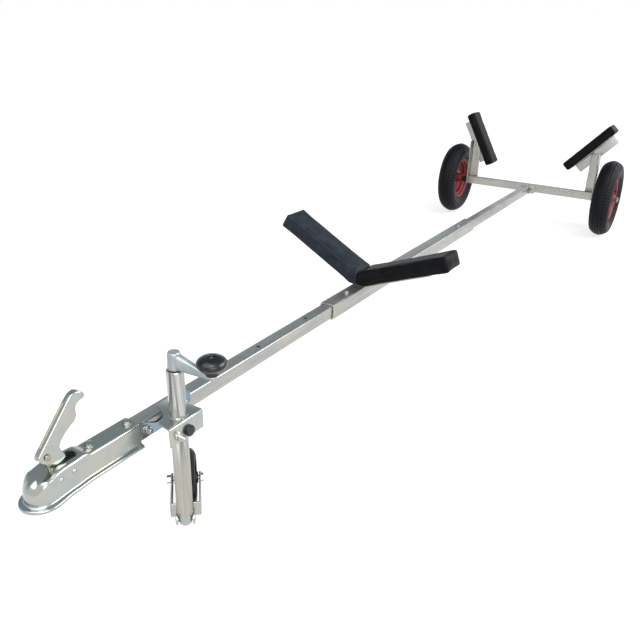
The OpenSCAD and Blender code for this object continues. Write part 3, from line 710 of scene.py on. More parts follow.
for name, (s, pz, tilt) in REAR.items():
    tm = tilt_matrix(s, PAD_Y, pz, tilt)
    # post: corner at the rear outer edge, one flange across the back, one along the outside
    prof = [(POST_BACK + u, s * (POST_OUT - v)) for u, v in angle_profile(ANGLE, ANGLE_T)]
    p = Piece("post_angle_" + name, "chassis", "galvanised")
    p.add(prism(prof, AXLE_Z - TUBE / 2, POST_TOP), GALV)
    slice_off(p.bm, [(tm @ Vector((0, 0, -PAD_T / 2 - ANGLE_T - 0.001)), tm.to_3x3() @ Vector(UP))])
    p.bevel(0.0006, 2, 70)
    post = p.make(["post_" + name])
    cut(post, [hole((POST_BACK, s * POST_BOLT_Y, POST_BOLT_Z), ALONG, 0.03)])
    # bracket under the pad: one flange under the board, one hanging behind the post
    prof = [(POST_BACK - ANGLE_T + u, -PAD_T / 2 - v) for u, v in angle_profile(ANGLE, ANGLE_T)]
    p = Piece("pad_bracket_angle_" + name, "chassis", "galvanised")
    p.add(prism(prof, -0.1215, 0.1215), GALV, tm @ FLIP)
    p.bevel(0.0006, 2, 70)
    br = p.make(["pad_bracket_" + name])
    cut(br, [hole((POST_BACK - ANGLE_T, s * POST_BOLT_Y, POST_BOLT_Z), ALONG, 0.03)])

p = Piece("post_bolt_set", "chassis", "zinc")
for i, s in enumerate((-1, 1)):
    m = along_x(s * POST_BOLT_Y, POST_BOLT_Z, POST_BACK + ANGLE_T)
    bolt(p, m, 2 * ANGLE_T, tail=0.006, turn=0.5 + i)
p.make(["post_bolts"])

# welds where the posts wrap the beam's ends
p = Piece("post_weld_set", "chassis", "galvanised")
for s in (-1, 1):
    y0, y1 = s * (POST_OUT - ANGLE), s * (POST_OUT - ANGLE_T)
    a, b = (-0.0205, y0, AXLE_Z + 0.0205), (-0.0205, y1, AXLE_Z + 0.0205)
    p.add(bead(between(a, b, 28) + [b], 0.0024, seed=s), WELD)
    a, b = ((0.0203, y1 + s * 0.0003, AXLE_Z + z) for z in (-0.018, 0.018))
    p.add(bead(between(a, b, 28) + [b], 0.0022, seed=s + 2), WELD)
p.make()

# stub axles with thrust washers, castle nuts and split pins
p = Piece("stub_axle_pair", "chassis", "zinc")
st_hi = lbox("stub_axles")[1]
for s in (-1, 1):
    m = along_y(0, 0, AXLE_Z, s)
    r = 0.010
    p.add(turned([(0, 0.353), (r, 0.353), (r, 0.472), (r * 0.9, 0.4735), (0, 0.4735)], 40), ZINC, m)
    p.add(washer(r, 0.017, 0.4692, 0.4718), ZINC, m)
    p.add(hex_head(0.028, 0.0125), ZINC, m @ shift(z=0.4722))
    p.add(threaded(0.0078, 0.47, st_hi.y), ZINC, m)
    # split pin through the thread: its eye, then its two legs
    zc = 0.4875
    eye = [(0, -0.0125, zc), (0.0035, -0.0155, zc + 0.001), (0, -0.0185, zc),
        (-0.0035, -0.0155, zc - 0.001), (0, -0.0125, zc)]
    bent = [(0, -0.013, zc), (0, 0.010, zc), (0, 0.0135, zc - 0.004)]
    straight = [(0.0012, -0.013, zc), (0.0012, 0.010, zc), (0.0015, 0.0130, zc + 0.0015)]
    for line in (eye, bent, straight):
        p.add(sweep(smooth_line(line), 0.0011, 6), ZINC, m @ Matrix.Rotation(0.6, 4, "Z"))
p.make(["stub_axles"])

p = Piece("axle_collar_pair", "chassis", "black_plastic")
for s in (-1, 1):
    half = [(0.0101, -0.016), (0.017, -0.016), (0.018, -0.015), (0.018, -0.007), (0.0165, -0.006)]
    p.add(lathe(mirrored(half), 48), SATIN, along_y(0, s * 0.375, AXLE_Z, s))
p.make(["axle_collars"])

# ---------------------------------------------------------------- V cradle
SL_TOP = sl_hi.z
CR_Z, CR_L, CR_W, CR_T = 0.265, 0.324, 0.104, 0.050
CR_TILT = {"left": 21.0, "right": 28.5}
TOP = SL_TOP + ANGLE_T


def foot(tilt):
    """Distance from the middle to the bend under a board of that tilt."""
    t = math.radians(tilt)
    return (TOP - CR_Z + CR_T / math.cos(t)) / math.tan(t)


def bent_strip():
    """Side section of the bent plate, with rounded bends, in Y and Z."""
    a, b = math.radians(CR_TILT["left"]), math.radians(CR_TILT["right"])
    left, right = foot(CR_TILT["left"]), foot(CR_TILT["right"])
    wing = 0.238
    line = [(-right - wing * math.cos(b), TOP + wing * math.sin(b)), (-right, TOP), (left, TOP),
        (left + wing * math.cos(a), TOP + wing * math.sin(a))]
    mid = rounded(line, [0, 0.02, 0.02, 0], 6)
    lower = []
    for i, q in enumerate(mid):
        q0, q1 = Vector(mid[max(i - 1, 0)]), Vector(mid[min(i + 1, len(mid) - 1)])
        d = (q1 - q0).normalized()
        lower.append((q[0] + d.y * ANGLE_T, q[1] - d.x * ANGLE_T))
    return mid + lower[::-1]


p = Piece("cradle_bent_plate", "chassis", "galvanised")
p.add(prism(bent_strip(), CRADLE_X - 0.035, CRADLE_X + 0.035), GALV, ALONG_X)
p.bevel(0.0008, 2, 60)
plate = p.make(["cradle_plate"])
cut(plate, [hole((CRADLE_X, 0, (SL_TOP + TOP) / 2), UP, ANGLE_T + 0.02)])

p = Piece("cradle_bolt_and_nut", "chassis", "zinc")
m = at((CRADLE_X, 0, sl_lo.z), (0, 0, -1), ALONG)
p.add(washer(0.0055, 0.010, 0, WASHER_T), ZINC, m)
p.add(hex_head(0.0165, 0.0078), ZINC, m @ shift(z=WASHER_T))
p.add(threaded(0.005, -0.055, 0.0115), ZINC, m)
p.make(["cradle_bolt"])


# ---------------------------------------------------------------- pads
# this cradle board takes the bluish vinyl copy, a painted reflection
SHEEN_BOARD = "cradle_bunk_right"


def padded_board(name, node, m, size, planes=()):
    """Rounded board, X across, Y along and Z out of its face, cut by the planes and padded."""
    bm = bmesh.new()
    bmesh.ops.create_cube(bm, size=1.0)
    bmesh.ops.scale(bm, vec=size, verts=bm.verts)
    bmesh.ops.bevel(bm, geom=bm.edges[:], offset=0.0045, segments=3, profile=0.5, affect="EDGES")
    slice_off(bm, planes)
    o = linked(name, mesh_from(name, bm))
    r = o.modifiers.new("remesh", "REMESH")
    r.mode, r.voxel_size = "VOXEL", 0.004
    apply_modifiers(o)
    inflate(o, 0.0022)
    s = o.modifiers.new("smooth", "SMOOTH")
    s.factor, s.iterations = 0.5, 1
    sub = o.modifiers.new("subdivide", "SUBSURF")
    sub.levels = sub.render_levels = 1
    apply_modifiers(o)
    me = o.data
    me.transform(LEVEL @ m)
    me.materials.append(PAD_PAINTED_SHEEN if name == SHEEN_BOARD else PAD)
    finish_mesh(me, 180)
    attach(o, "chassis")
    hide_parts(node)


def inflate(o, cap):
    """Swells the cover with Cloth, and caps how far any point moves."""
    scene = bpy.context.scene
    before = [v.co.copy() for v in o.data.vertices]
    c = o.modifiers.new("cloth", "CLOTH")
    c.settings.use_pressure = True
    c.settings.uniform_pressure_force = 4.0
    c.settings.tension_stiffness = c.settings.compression_stiffness = 15
    c.settings.shear_stiffness = 8
    c.settings.bending_stiffness = 1.5
    c.settings.effector_weights.gravity = 0.0
    c.collision_settings.use_collision = False
    c.point_cache.frame_start, c.point_cache.frame_end = 1, 20
    for f in range(1, 21):
        scene.frame_set(f)
    swollen = o.evaluated_get(bpy.context.evaluated_depsgraph_get())
    after = [v.co.copy() for v in swollen.data.vertices]
    o.modifiers.clear()
    scene.frame_set(1)
    for v, a, b in zip(o.data.vertices, before, after):
        d = b - a
        v.co = a + (d if d.length <= cap else d * (cap / d.length))


for name, (s, pz, tilt) in REAR.items():
    m = tilt_matrix(s, PAD_Y, pz, tilt, -0.005)
    padded_board("rear_bunk_" + name, "rear_pad_" + name, m, (PAD_W, PAD_L, PAD_T))

# the cradle's boards are made longer, then cut where they meet and where they rest
extra = 0.040
for name, s in (("left", 1), ("right", -1)):
    along = s * (CR_L / 2 - extra / 2)
    m = tilt_matrix(s, 0, CR_Z, CR_TILT[name], CRADLE_X) @ shift(0, along, -CR_T / 2)
    inv = m.inverted()
    planes = [(inv @ Vector((CRADLE_X, 0, CR_Z)), inv.to_3x3() @ Vector((0, -s, 0))),
              (inv @ Vector((CRADLE_X, 0, TOP + 0.001)), inv.to_3x3() @ Vector((0, 0, -1)))]
    padded_board("cradle_bunk_" + name, "cradle_pad_" + name, m, (CR_W, CR_L + extra, CR_T), planes)

# ---------------------------------------------------------------- coupling
BALL_X = 3.237
FZ0 = 0.160


def curve_at(keys, x):
    """Smooth value at x from (x, value) keys."""
    for (x0, v0), (x1, v1) in zip(keys, keys[1:]):
        if x <= x1:
            return lerp(v0, v1, ease((x - x0) / (x1 - x0)))
    return keys[-1][1]


TOP_LINE = [(3.0, 0.2176), (3.128, 0.2176), (3.147, 0.224), (3.208, 0.224), (3.237, 0.2172)]
HALF_LINE = [(3.0, 0.025), (3.14, 0.025), (3.18, 0.028), (3.237, 0.0325)]
FLANGE_LINE = [(3.0, 0.034), (3.14, 0.034), (3.185, 0.037), (3.237, 0.044)]


def shell_profile(x):
    """Half section of the pressed body at x, from its middle line to the flange's edge: (r, z)."""
    half, top, flange = (curve_at(line, x) for line in (HALF_LINE, TOP_LINE, FLANGE_LINE))
    r1, r2, edge = 0.0072, 0.0045, 0.003
    z_f = FZ0 + 0.0065
    wall = [(half, lerp(top - r1, z_f + r2, t)) for t in (0.3, 0.7)]
    return (
        [(0, top), (half * 0.5, top)]
        + arc(half - r1, top - r1, r1, range(90, -1, -15)) + wall
        + arc(half + r2, z_f + r2, r2, (180, 202, 225, 247, 270))
        + arc(flange - edge, z_f - edge, edge, (90, 60, 30, 0)) + [(flange, FZ0)]
    )


def coupling_shell():
    """Open skin: up one side, round the nose, and back down the other side."""
    xs = steps(3.002, BALL_X, 46)
    side = shell_profile(BALL_X)
    # over the nose the flat top bows down into a dome
    dome = [(0, 0.2172), (0.011, 0.2152)] + arc(0, 0.184, 0.033, range(62, 13, -8), 0.0325)
    dome += [(0.0328, 0.181), (0.0327, 0.1755)] + side[11:]
    stations = [(x, 90.0, shell_profile(x)) for x in xs]
    for k in range(1, 25):
        phi = 90 - k * 90 / 12
        t = ease((90 - abs(phi)) / 55)
        between_both = [(lerp(a[0], b[0], t), lerp(a[1], b[1], t)) for a, b in zip(side, dome)]
        stations.append((BALL_X, phi, between_both))
    stations += [(x, -90.0, shell_profile(x)) for x in reversed(xs[:-1])]
    v, f = [], []
    n = len(side)
    for x, phi, prof in stations:
        c, s = math.cos(math.radians(phi)), math.sin(math.radians(phi))
        v += [(x + c * r, s * r, z) for r, z in prof]
    for i in range(len(stations) - 1):
        a, b = i * n, (i + 1) * n
        f += [[a + j, a + j + 1, b + j + 1, b + j] for j in range(n - 1)]
    return v, f


p = Piece("coupling_shell", "chassis", "zinc")
p.add(coupling_shell(), ZINC)
bmesh.ops.remove_doubles(p.bm, verts=p.bm.verts, dist=1e-6)
bmesh.ops.dissolve_degenerate(p.bm, edges=p.bm.edges, dist=1e-6)
shell = p.make(["coupling_body"], angle=50)
sol = shell.modifiers.new("thickness", "SOLIDIFY")
sol.thickness, sol.offset, sol.use_even_offset = 0.0034, -1.0, True
apply_modifiers(shell)
half = [(3.152, -0.0145), (3.186, -0.0145), (3.198, -0.0114), (3.2125, -0.0114)]
radii = [0.011, 0.01, 0.01, 0.002]
window = rounded(mirrored(half), radii + radii[::-1], 6)
cut(shell, [cutter(prism(window, 0.209, 0.24))], angle=40)

# ball socket lining and the latch seen through the window
p = Piece("coupling_socket", "chassis", "zinc")
base = FZ0 + 0.002
sock = [(0.0253, base), (0.0253, 0.185)] + arc(0, 0.185, 0.0253, range(15, 76, 15))
sock += [(0, 0.2103), (0, 0.2123)] + arc(0, 0.185, 0.0273, range(75, 14, -15))
sock += [(0.0273, 0.185), (0.0273, base)]
p.add(lathe(sock, 48), DARK, shift(BALL_X, 0, 0))
p.add(block(3.146, 3.2055, -0.021, 0.021, 0.196, 0.203), DARK)
p.add(block(3.2055, 3.2135, -0.0145, 0.0145, 0.205, 0.2135), DARK)
p.make()
p = Piece("coupling_indicator", "chassis", "zinc")
strip = rounded([(3.157, 0.0114), (3.187, 0.0114), (3.187, 0.0141), (3.157, 0.0141)], 0.001)
p.add(prism(strip, 0.212, 0.2208), INDICATOR)
p.bevel(0.0008)
p.make()

p = Piece("coupling_bolt_set", "chassis", "zinc")
for i, x in enumerate(COUPLING_BOLTS):
    bolt(p, at((x, 0, 0.2176)), 0.045, turn=0.4 + i)
p.make(["coupling_bolts"])

p = Piece("coupling_rivets", "chassis", "zinc")
dome = [(0, 0.003)] + arc(0, 0, 0.0055, (70, 50, 30, 10), 0.003) + [(0.0056, 0), (0, 0)]
for x in (3.177, 3.210):
    for s in (-1, 1):
        p.add(turned(dome, 28), ZINC, along_y(x, s * curve_at(HALF_LINE, x), 0.2035, s))
p.make()

LEVER_X, LEVER_Z, LEVER_HALF = 3.218, 0.252, 0.0105
LEVER_AT = shift(LEVER_X, 0, LEVER_Z) @ spin(-132.5, "Y")
p = Piece("lever_ears", "chassis", "zinc")
for s in (-1, 1):
    ear = arc(LEVER_X, LEVER_Z, 0.009, steps(190, 0, 16)) + [(3.2135, 0.210), (3.2065, 0.210)]
    p.add(prism(ear, *sorted((s * 0.004, s * 0.0073))), ZINC, FLIP)
p.add(block(3.190, 3.2127, -0.0075, 0.0075, 0.208, 0.2238), ZINC)
p.bevel(0.0006, 2, 50)
p.make()
p = Piece("lever_rivet", "chassis", "zinc")
half = [(0, 0.0135), (0.004, 0.0133), (0.0062, 0.0124), (0.007, 0.0112), (0.0046, 0.0108)]
p.add(turned(mirrored(half), 32), GOLD, along_y(LEVER_X, 0, LEVER_Z))
p.make(["lever_pin"])

LEVER_OUT = [(-0.0135, -0.004), (-0.0122, -0.0110), (-0.0085, -0.0150), (-0.001, -0.0165), (0.03, -0.0165),
    (0.075, -0.0165), (0.112, -0.0163), (0.1240, -0.0145), (0.1325, -0.0088), (0.1368, -0.001),
    (0.1370, 0.006), (0.1350, 0.0120), (0.1315, 0.0142), (0.126, 0.0125), (0.1195, 0.0083),
    (0.112, 0.0058), (0.104, 0.0080), (0.097, 0.0138), (0.090, 0.0190), (0.080, 0.0202), (0.066, 0.0162),
    (0.052, 0.0131), (0.040, 0.0123), (0.030, 0.0140), (0.024, 0.0182), (0.0204, 0.0250), (0.0178, 0.0325),
    (0.0152, 0.0390), (0.0118, 0.0425), (0.0070, 0.0415), (0.000, 0.0383), (-0.0050, 0.0355),
    (-0.0092, 0.0310), (-0.0108, 0.0230), (-0.0120, 0.0140), (-0.0130, 0.0050)]

p = Piece("lever_channel", "coupling_lever", "zinc")
p.add(prism(smooth_line(LEVER_OUT, 4, closed=True), -LEVER_HALF, LEVER_HALF), ZINC, LEVER_AT @ FLIP)
p.bevel(0.0028, 4, 60)
lever = p.make(["coupling_lever"], angle=40)
inner = rounded([(-0.05, -0.0137), (0.108, -0.0137), (0.124, -0.009), (0.1305, 0.0), (0.1305, 0.05),
    (-0.05, 0.05)], [0, 0.01, 0.01, 0.01, 0, 0], 5)
groove = [(0.006, -0.03), (0.108, -0.03), (0.104, -0.0153), (0.010, -0.0153)]
cut(lever, [cutter(prism(inner, -0.0082, 0.0082), LEVER_AT @ FLIP),
            cutter(prism(groove, -0.0052, 0.0052), LEVER_AT @ FLIP),
            cutter(rod(0.00506, -0.02, 0.02, 32), along_y(LEVER_X, 0, LEVER_Z))], angle=40)
# the channel's sides lean in towards its ridge
back = LEVEL @ LEVER_AT
to_lever = back.inverted()
for v in lever.data.vertices:
    q = to_lever @ v.co
    q.y *= lerp(0.72, 1.0, ease((q.z + 0.0165) / 0.022))
    v.co = back @ q
finish_mesh(lever.data, 40)

# ---------------------------------------------------------------- jack
JX, JY = 2.953, 0.0925
jt_lo, jt_hi = lbox("jack_outer_tube")
JTOP, JBOT = jt_hi.z, jt_lo.z
JACK = shift(JX, JY, 0)
Y0, Y1 = 0.024, 0.120
BX0, BX1, BTOP, BLOW = 2.905, 3.007, 0.240, 0.194

p = Piece("jack_tube", "chassis", "zinc")
R = 0.019
prof = [(R - 0.003, JBOT), (R - 0.0006, JBOT), (R, JBOT + 0.0008), (R, JTOP - 0.012), (R, JTOP - 0.0105),
    (R, JTOP - 0.002), (R - 0.0015, JTOP), (0.008, JTOP), (0.008, JTOP - 0.004), (0.0062, JTOP - 0.005),
    (0.0062, JTOP - 0.008), (R - 0.003, JTOP - 0.008)]
p.add(lathe(prof, 72), TUBE_ZINC_STRIPED, JACK)
p.make(["jack_outer_tube"], angle=40)

p = Piece("jack_back_plate", "chassis", "zinc")
dip = smooth_line([(2.906, 0.239), (2.916, 0.226), (2.924, 0.208), (2.933, 0.198), (2.949, 0.195),
    (2.964, 0.201), (2.977, 0.208), (2.990, 0.214), (3.000, 0.218)], 3)
loop = [(2.842, ZB - 0.02), (2.842, 0.221), (2.864, 0.239)] + dip + [(3.000, ZB - 0.02)]
# back plate in the darker blue zinc copy: painted shade
p.add(prism(loop, 0.020, 0.024), ZINC_PAINTED_SHADE, FLIP)
p.bevel(0.0006, 2, 50)
bp = p.make(["jack_mount_plate"])
cut(bp, [hole((x, 0.022, MOUNT_Z), ACROSS, 0.02) for x in MOUNT_BOLTS])

p = Piece("jack_bolt_set", "chassis", "zinc")
for i, x in enumerate(MOUNT_BOLTS):
    bolt(p, along_y(x, -0.020, MOUNT_Z, -1), 0.044, tail=0.0085, turn=0.5 * i)
p.make(["jack_mount_bolts"])

# housing: top sheet folded down outside and at both ends
p = Piece("jack_bracket", "chassis", "zinc")
T = 0.004
sec = rounded([(Y0, BTOP - T), (Y1 - T, BTOP - T), (Y1 - T, BLOW), (Y1, BLOW), (Y1, BTOP), (Y0, BTOP)],
    [0, 0.003, 0, 0, 0.006, 0], 5)
p.add(prism(sec, BX0, BX1), ZINC, ALONG_X)
rear_web = rounded([(Y0, 0.165), (Y0, BTOP - 0.002), (Y1 - 0.003, BTOP - 0.002), (Y1 - 0.003, BLOW),
    (0.098, 0.190), (0.060, 0.169)], [0.004, 0, 0, 0.002, 0.01, 0.02], 4)
front_web = rounded([(Y0, 0.165), (Y0, 0.218), (0.036, 0.221), (0.060, 0.227), (0.078, BTOP - 0.001),
    (Y1 - 0.003, BTOP - 0.001), (Y1 - 0.003, BLOW), (0.098, 0.190), (0.060, 0.169)],
    [0.004, 0.003, 0.02, 0.02, 0.004, 0, 0.002, 0.01, 0.02], 4)
# end webs of the same sheet in the darker blue zinc copy: painted shade
p.add(prism(rear_web, BX0, BX0 + T), ZINC_PAINTED_SHADE, ALONG_X)
p.add(prism(front_web, 2.996, 3.000), ZINC_PAINTED_SHADE, ALONG_X)
p.bevel(0.0007, 2, 50)
br = p.make(["jack_housing"])
corner = rounded([(2.944, 0.015), (2.967, 0.061), (2.984, 0.080), (3.000, 0.078), (3.0075, 0.1205),
    (3.020, 0.1205), (3.020, 0.015)], [0, 0.03, 0.01, 0.008, 0, 0, 0], 5)
cut(br, [hole((JX, JY, 0.22), UP, 0.1, 0.0191, 64),
         hole((MOUNT_BOLTS[1], Y0, MOUNT_Z), ACROSS, 0.04, 0.0105),
         cutter(prism(corner, BTOP - T - 0.0003, BTOP + 0.01))])
p = Piece("jack_bracket_weld", "chassis", "zinc")
ring = [(x, y, BTOP + 0.0006) for x, y in arc(JX, JY, 0.0195, range(0, 360, 6))]
p.add(bead(ring, 0.0019, (0.25, 1.6), (0.2, 300), closed=True), ZINC)
p.make()

# sprung plunger and its black cap on the outer face
p = Piece("plunger_body", "chassis", "zinc")
m = along_y(2.984, Y1, 0.212)
cone = [(0, 0), (0.0105, 0), (0.0105, 0.0022), (0.0098, 0.003), (0.0088, 0.0036), (0.0078, 0.0105),
    (0.0066, 0.0165), (0.0056, 0.0205), (0.0044, 0.0217), (0, 0.022)]
p.add(turned(cone, 44), ZINC, m)
p.make(["lock_plunger"])
p = Piece("plunger_cap", "chassis", "black_plastic")
m = along_y(2.953, Y1, 0.211)
cap = [(0, 0.0098), (0.0088, 0.0098), (0.0112, 0.0092), (0.0125, 0.0076), (0.0130, 0.0050),
    (0.0130, 0.0015), (0.0123, 0.0), (0, 0)]
p.add(turned(cap, 48), SATIN, m)
p.make(["lock_knob"])

# crank: cast arm with a square head and a mushroom knob
CRANK_REACH = 0.089
CRANK = JACK @ spin(101.5)
p = Piece("crank_arm", "crank", "cast_grey")


def arm_sections():
    """Rounded sections of the cast arm: deep at the head, thin under the knob."""
    secs = [(-0.002, 0.3720, 0.0122, 0.0195), (0.012, 0.3695, 0.0122, 0.0180),
        (0.026, 0.3655, 0.0104, 0.0158), (0.042, 0.3612, 0.0090, 0.0130), (0.056, 0.3575, 0.0082, 0.0105),
        (0.068, 0.3545, 0.0080, 0.0082), (0.080, 0.3518, 0.0088, 0.0058), (0.091, 0.3510, 0.0082, 0.0049),
        (0.0972, 0.3510, 0.0042, 0.0032)]
    rings, n = [], 20
    for x, z, hw, hh in smooth_line(secs, 5):
        ring = arc(0, 0, 1, [360 * i / n for i in range(n)])
        square = [[math.copysign(abs(c) ** 0.72, c) for c in q] for q in ring]
        rings.append([(x, hw * c, z + hh * s) for c, s in square])
    return skin(rings)


p.add(arm_sections(), CAST, CRANK)
p.make(["jack_crank"], angle=50)
p = Piece("crank_head", "crank", "cast_grey")
hd = [(0, 0.393), (0.0085, 0.393), (0.0118, 0.3922), (0.0134, 0.3898), (0.0140, 0.386), (0.0142, 0.372),
    (0.0150, 0.358), (0.0152, 0.3545), (0.0145, 0.353), (0.006, 0.353), (0.006, 0.325), (0, 0.325)]
p.add(turned(hd, 56), CAST, CRANK)
p.make(angle=40)
p = Piece("crank_knob_mushroom", "crank", "black_plastic")
K = CRANK @ shift(CRANK_REACH, 0, 0)
kn = [(0, 0.3942), (0.0062, 0.3942), (0.0074, 0.3950), (0.0080, 0.3985), (0.0090, 0.3997)]
kn += arc(0, 0.3835, 0.0324, range(70, -51, -6), 0.0171)
kn += [(0.0172, 0.3685), (0.0150, 0.3665), (0.0139, 0.3640), (0.0138, 0.3605), (0.0142, 0.3585),
    (0.0136, 0.3572), (0, 0.3572)]
p.add(turned(kn, 96), BLACK, K)
p.make(["crank_knob"], angle=40)
p = Piece("crank_knob_screw", "crank", "zinc")
sc = [(0, 0.3968), (0.0024, 0.3966), (0.0042, 0.3959), (0.0052, 0.3949), (0.0052, 0.3942), (0, 0.394)]
p.add(turned(sc, 28), ZINC, K)
p.add(turned([(0, 0.3572), (0.0038, 0.3572), (0.0038, 0.342), (0.003, 0.341), (0, 0.341)], 20), ZINC, K)
p.make()

# leg, foot, fork and jockey wheel
leg_lo, leg_hi = lbox("jack_leg")
p = Piece("jack_inner_leg", "leg", "zinc")
p.add(lathe([(0.0126, leg_lo.z), (0.0152, leg_lo.z), (0.0156, leg_lo.z + 0.0006), (0.0156, leg_hi.z),
    (0.0126, leg_hi.z)], 56), TUBE_ZINC_STRIPED, JACK)
p.make(["jack_leg"])

FOLD = JACK @ spin(-139)
PIV = -0.043
p = Piece("jack_foot_lug", "foot", "zinc")
ft = [(0, -0.0592), (0.0055, -0.0584), (0.0105, -0.0560), (0.0142, -0.0520), (0.0160, -0.0465),
    (0.0165, -0.0400), (0.0166, -0.0340), (0.0163, -0.0330), (0.0160, -0.028), (0.012, -0.028),
    (0.012, 0.010), (0, 0.010)]
p.add(turned(ft, 56), ZINC, FOLD)
p.make(["jack_foot"], angle=40)
p = Piece("fork_pivot_bolt", "foot", "zinc")
half = [(0, 0.0232), (0.0045, 0.0231), (0.0068, 0.0226), (0.0078, 0.0216), (0.006, 0.0215)]
p.add(turned(mirrored(half), 40), ZINC, FOLD @ along_y(0, 0, PIV))
p.make(["fork_pin"])

# the jockey wheel's axle, out from the leg and up
JR, JZ = 0.108, -0.010
p = Piece("jockey_fork", "fork", "zinc")
EDGE = 0.014
aim = math.degrees(math.atan2(JZ - PIV, JR - 0.0285))
ear = arc(0, PIV, EDGE, steps(100, 260, 14))
ear += [(0.0245, PIV - EDGE), (0.0285, PIV - EDGE), (0.0285, PIV + EDGE), (0.0245, PIV + EDGE)]
arm = [(0.0245, PIV - EDGE)] + arc(JR, JZ, 0.015, steps(aim - 90, aim + 90, 16)) + [(0.0245, PIV + EDGE)]
for s in (-1, 1):
    p.add(prism(ear, *sorted((s * 0.017, s * 0.0215))), ZINC, FOLD @ FLIP)
    p.add(prism(arm, *sorted((s * 0.0315, s * 0.036))), ZINC, FOLD @ FLIP)
web = rounded([(-0.036, PIV - 0.014), (0.036, PIV - 0.014), (0.036, PIV + 0.024), (-0.036, PIV + 0.024)],
    [0.004, 0.004, 0.006, 0.006], 4)
p.add(prism(web, 0.0245, 0.0285), ZINC, FOLD @ ALONG_X)
p.bevel(0.0011, 3, 50)
p.make(["jack_fork"], angle=40)
p = Piece("jockey_axle_bolt", "fork", "zinc")
m = FOLD @ along_y(JR, 0, JZ)
p.add(rod(0.006, -0.040, 0.036, 28), ZINC, m)
p.add(washer(0.0062, 0.0115, 0.036, 0.0378), ZINC, m)
p.add(hex_head(0.018, 0.009), ZINC, m @ shift(z=0.0378))
p.add(threaded(0.0058, 0.036, 0.0458), ZINC, m)
p.add(hex_head(0.018, 0.0058), ZINC, m @ shift(z=-0.036) @ spin(180, "X"))
p.make(["jockey_bolt"])

p = Piece("jockey_wheel_tyre", "jockey_wheel", "tyre")
half = [(0.046, -0.0225), (0.050, -0.0238), (0.055, -0.0232), (0.0565, -0.0240), (0.0610, -0.0225),
        (0.0665, -0.0190), (0.0712, -0.0140), (0.0738, -0.0080), (0.0750, -0.0030)]
p.add(lathe(mirrored(half), 96), RUBBER, m)
p.make(["jockey_tyre"], angle=50)
p = Piece("jockey_wheel_hub", "jockey_wheel", "black_plastic")
half = [(0.0062, -0.029), (0.0125, -0.029), (0.0145, -0.0275), (0.015, -0.017), (0.018, -0.015),
        (0.038, -0.0125), (0.0415, -0.018), (0.045, -0.019), (0.0459, -0.017)]
p.add(lathe(mirrored(half), 72), SATIN, m)
rib = block(0.0145, 0.042, -0.0013, 0.0013, 0.0, 0.0165)
for k in range(6):
    for turn in (180, 0):
        p.add(rib, SATIN, m @ spin(turn, "X") @ spin(60 * k + 12))
p.make(["jockey_hub"], angle=35)

# ---------------------------------------------------------------- road wheels
def tyre_shape():
    """Pneumatic tyre: ribbed crown with side lugs, moulded rings and a bead line."""
    right = [(0.1010, 0.0265), (0.1075, 0.0290), (0.1135, 0.0305), (0.1165, 0.0345), (0.1195, 0.0350),
        (0.1225, 0.0372), (0.1300, 0.0425), (0.1400, 0.0468), (0.1500, 0.0490), (0.1530, 0.0497),
        (0.1560, 0.0497), (0.1590, 0.0492), (0.1680, 0.0472), (0.1740, 0.0448), (0.1760, 0.0444),
        (0.1800, 0.0412), (0.1845, 0.0360), (0.1885, 0.0300), (0.1915, 0.0245), (0.1925, 0.0228),
        (0.1900, 0.0218), (0.1902, 0.0192), (0.1948, 0.0180), (0.1968, 0.0120), (0.1975, 0.0088),
        (0.1950, 0.0080), (0.1952, 0.0056), (0.1985, 0.0046), (0.1995, 0.0000)]
    segs, rings = 360, []
    for i in range(segs):
        ring = []
        for r, z in mirrored(right):
            lug = 0.1765 <= r <= 0.1920 and abs(z) > 0.0235 and (i + (2 if z < 0 else 0)) % 5 == 0
            if lug:
                r, z = r - 0.0021, z - math.copysign(0.0021 * 0.55, z)
            x, y = arc(0, 0, r, [360 * i / segs])[0]
            ring.append((x, y, z))
        rings.append(ring)
    return skin(rings, closed=True)


def rim_shape():
    """Pressed rim with rolled flanges, drop centre and dished disc: closed section (r, z)."""
    out = [(0.1128, 0.0325), (0.1118, 0.0330), (0.1040, 0.0305), (0.1005, 0.0275), (0.0990, 0.0220),
           (0.0975, 0.0170), (0.0900, 0.0120), (0.0890, 0.0060)]
    inner = [(0.1128, -0.0300), (0.1060, -0.0285), (0.1010, -0.0262), (0.1010, -0.0175), (0.0925, -0.0130),
             (0.0915, 0.0)]
    return mirrored(out) + mirrored(inner)


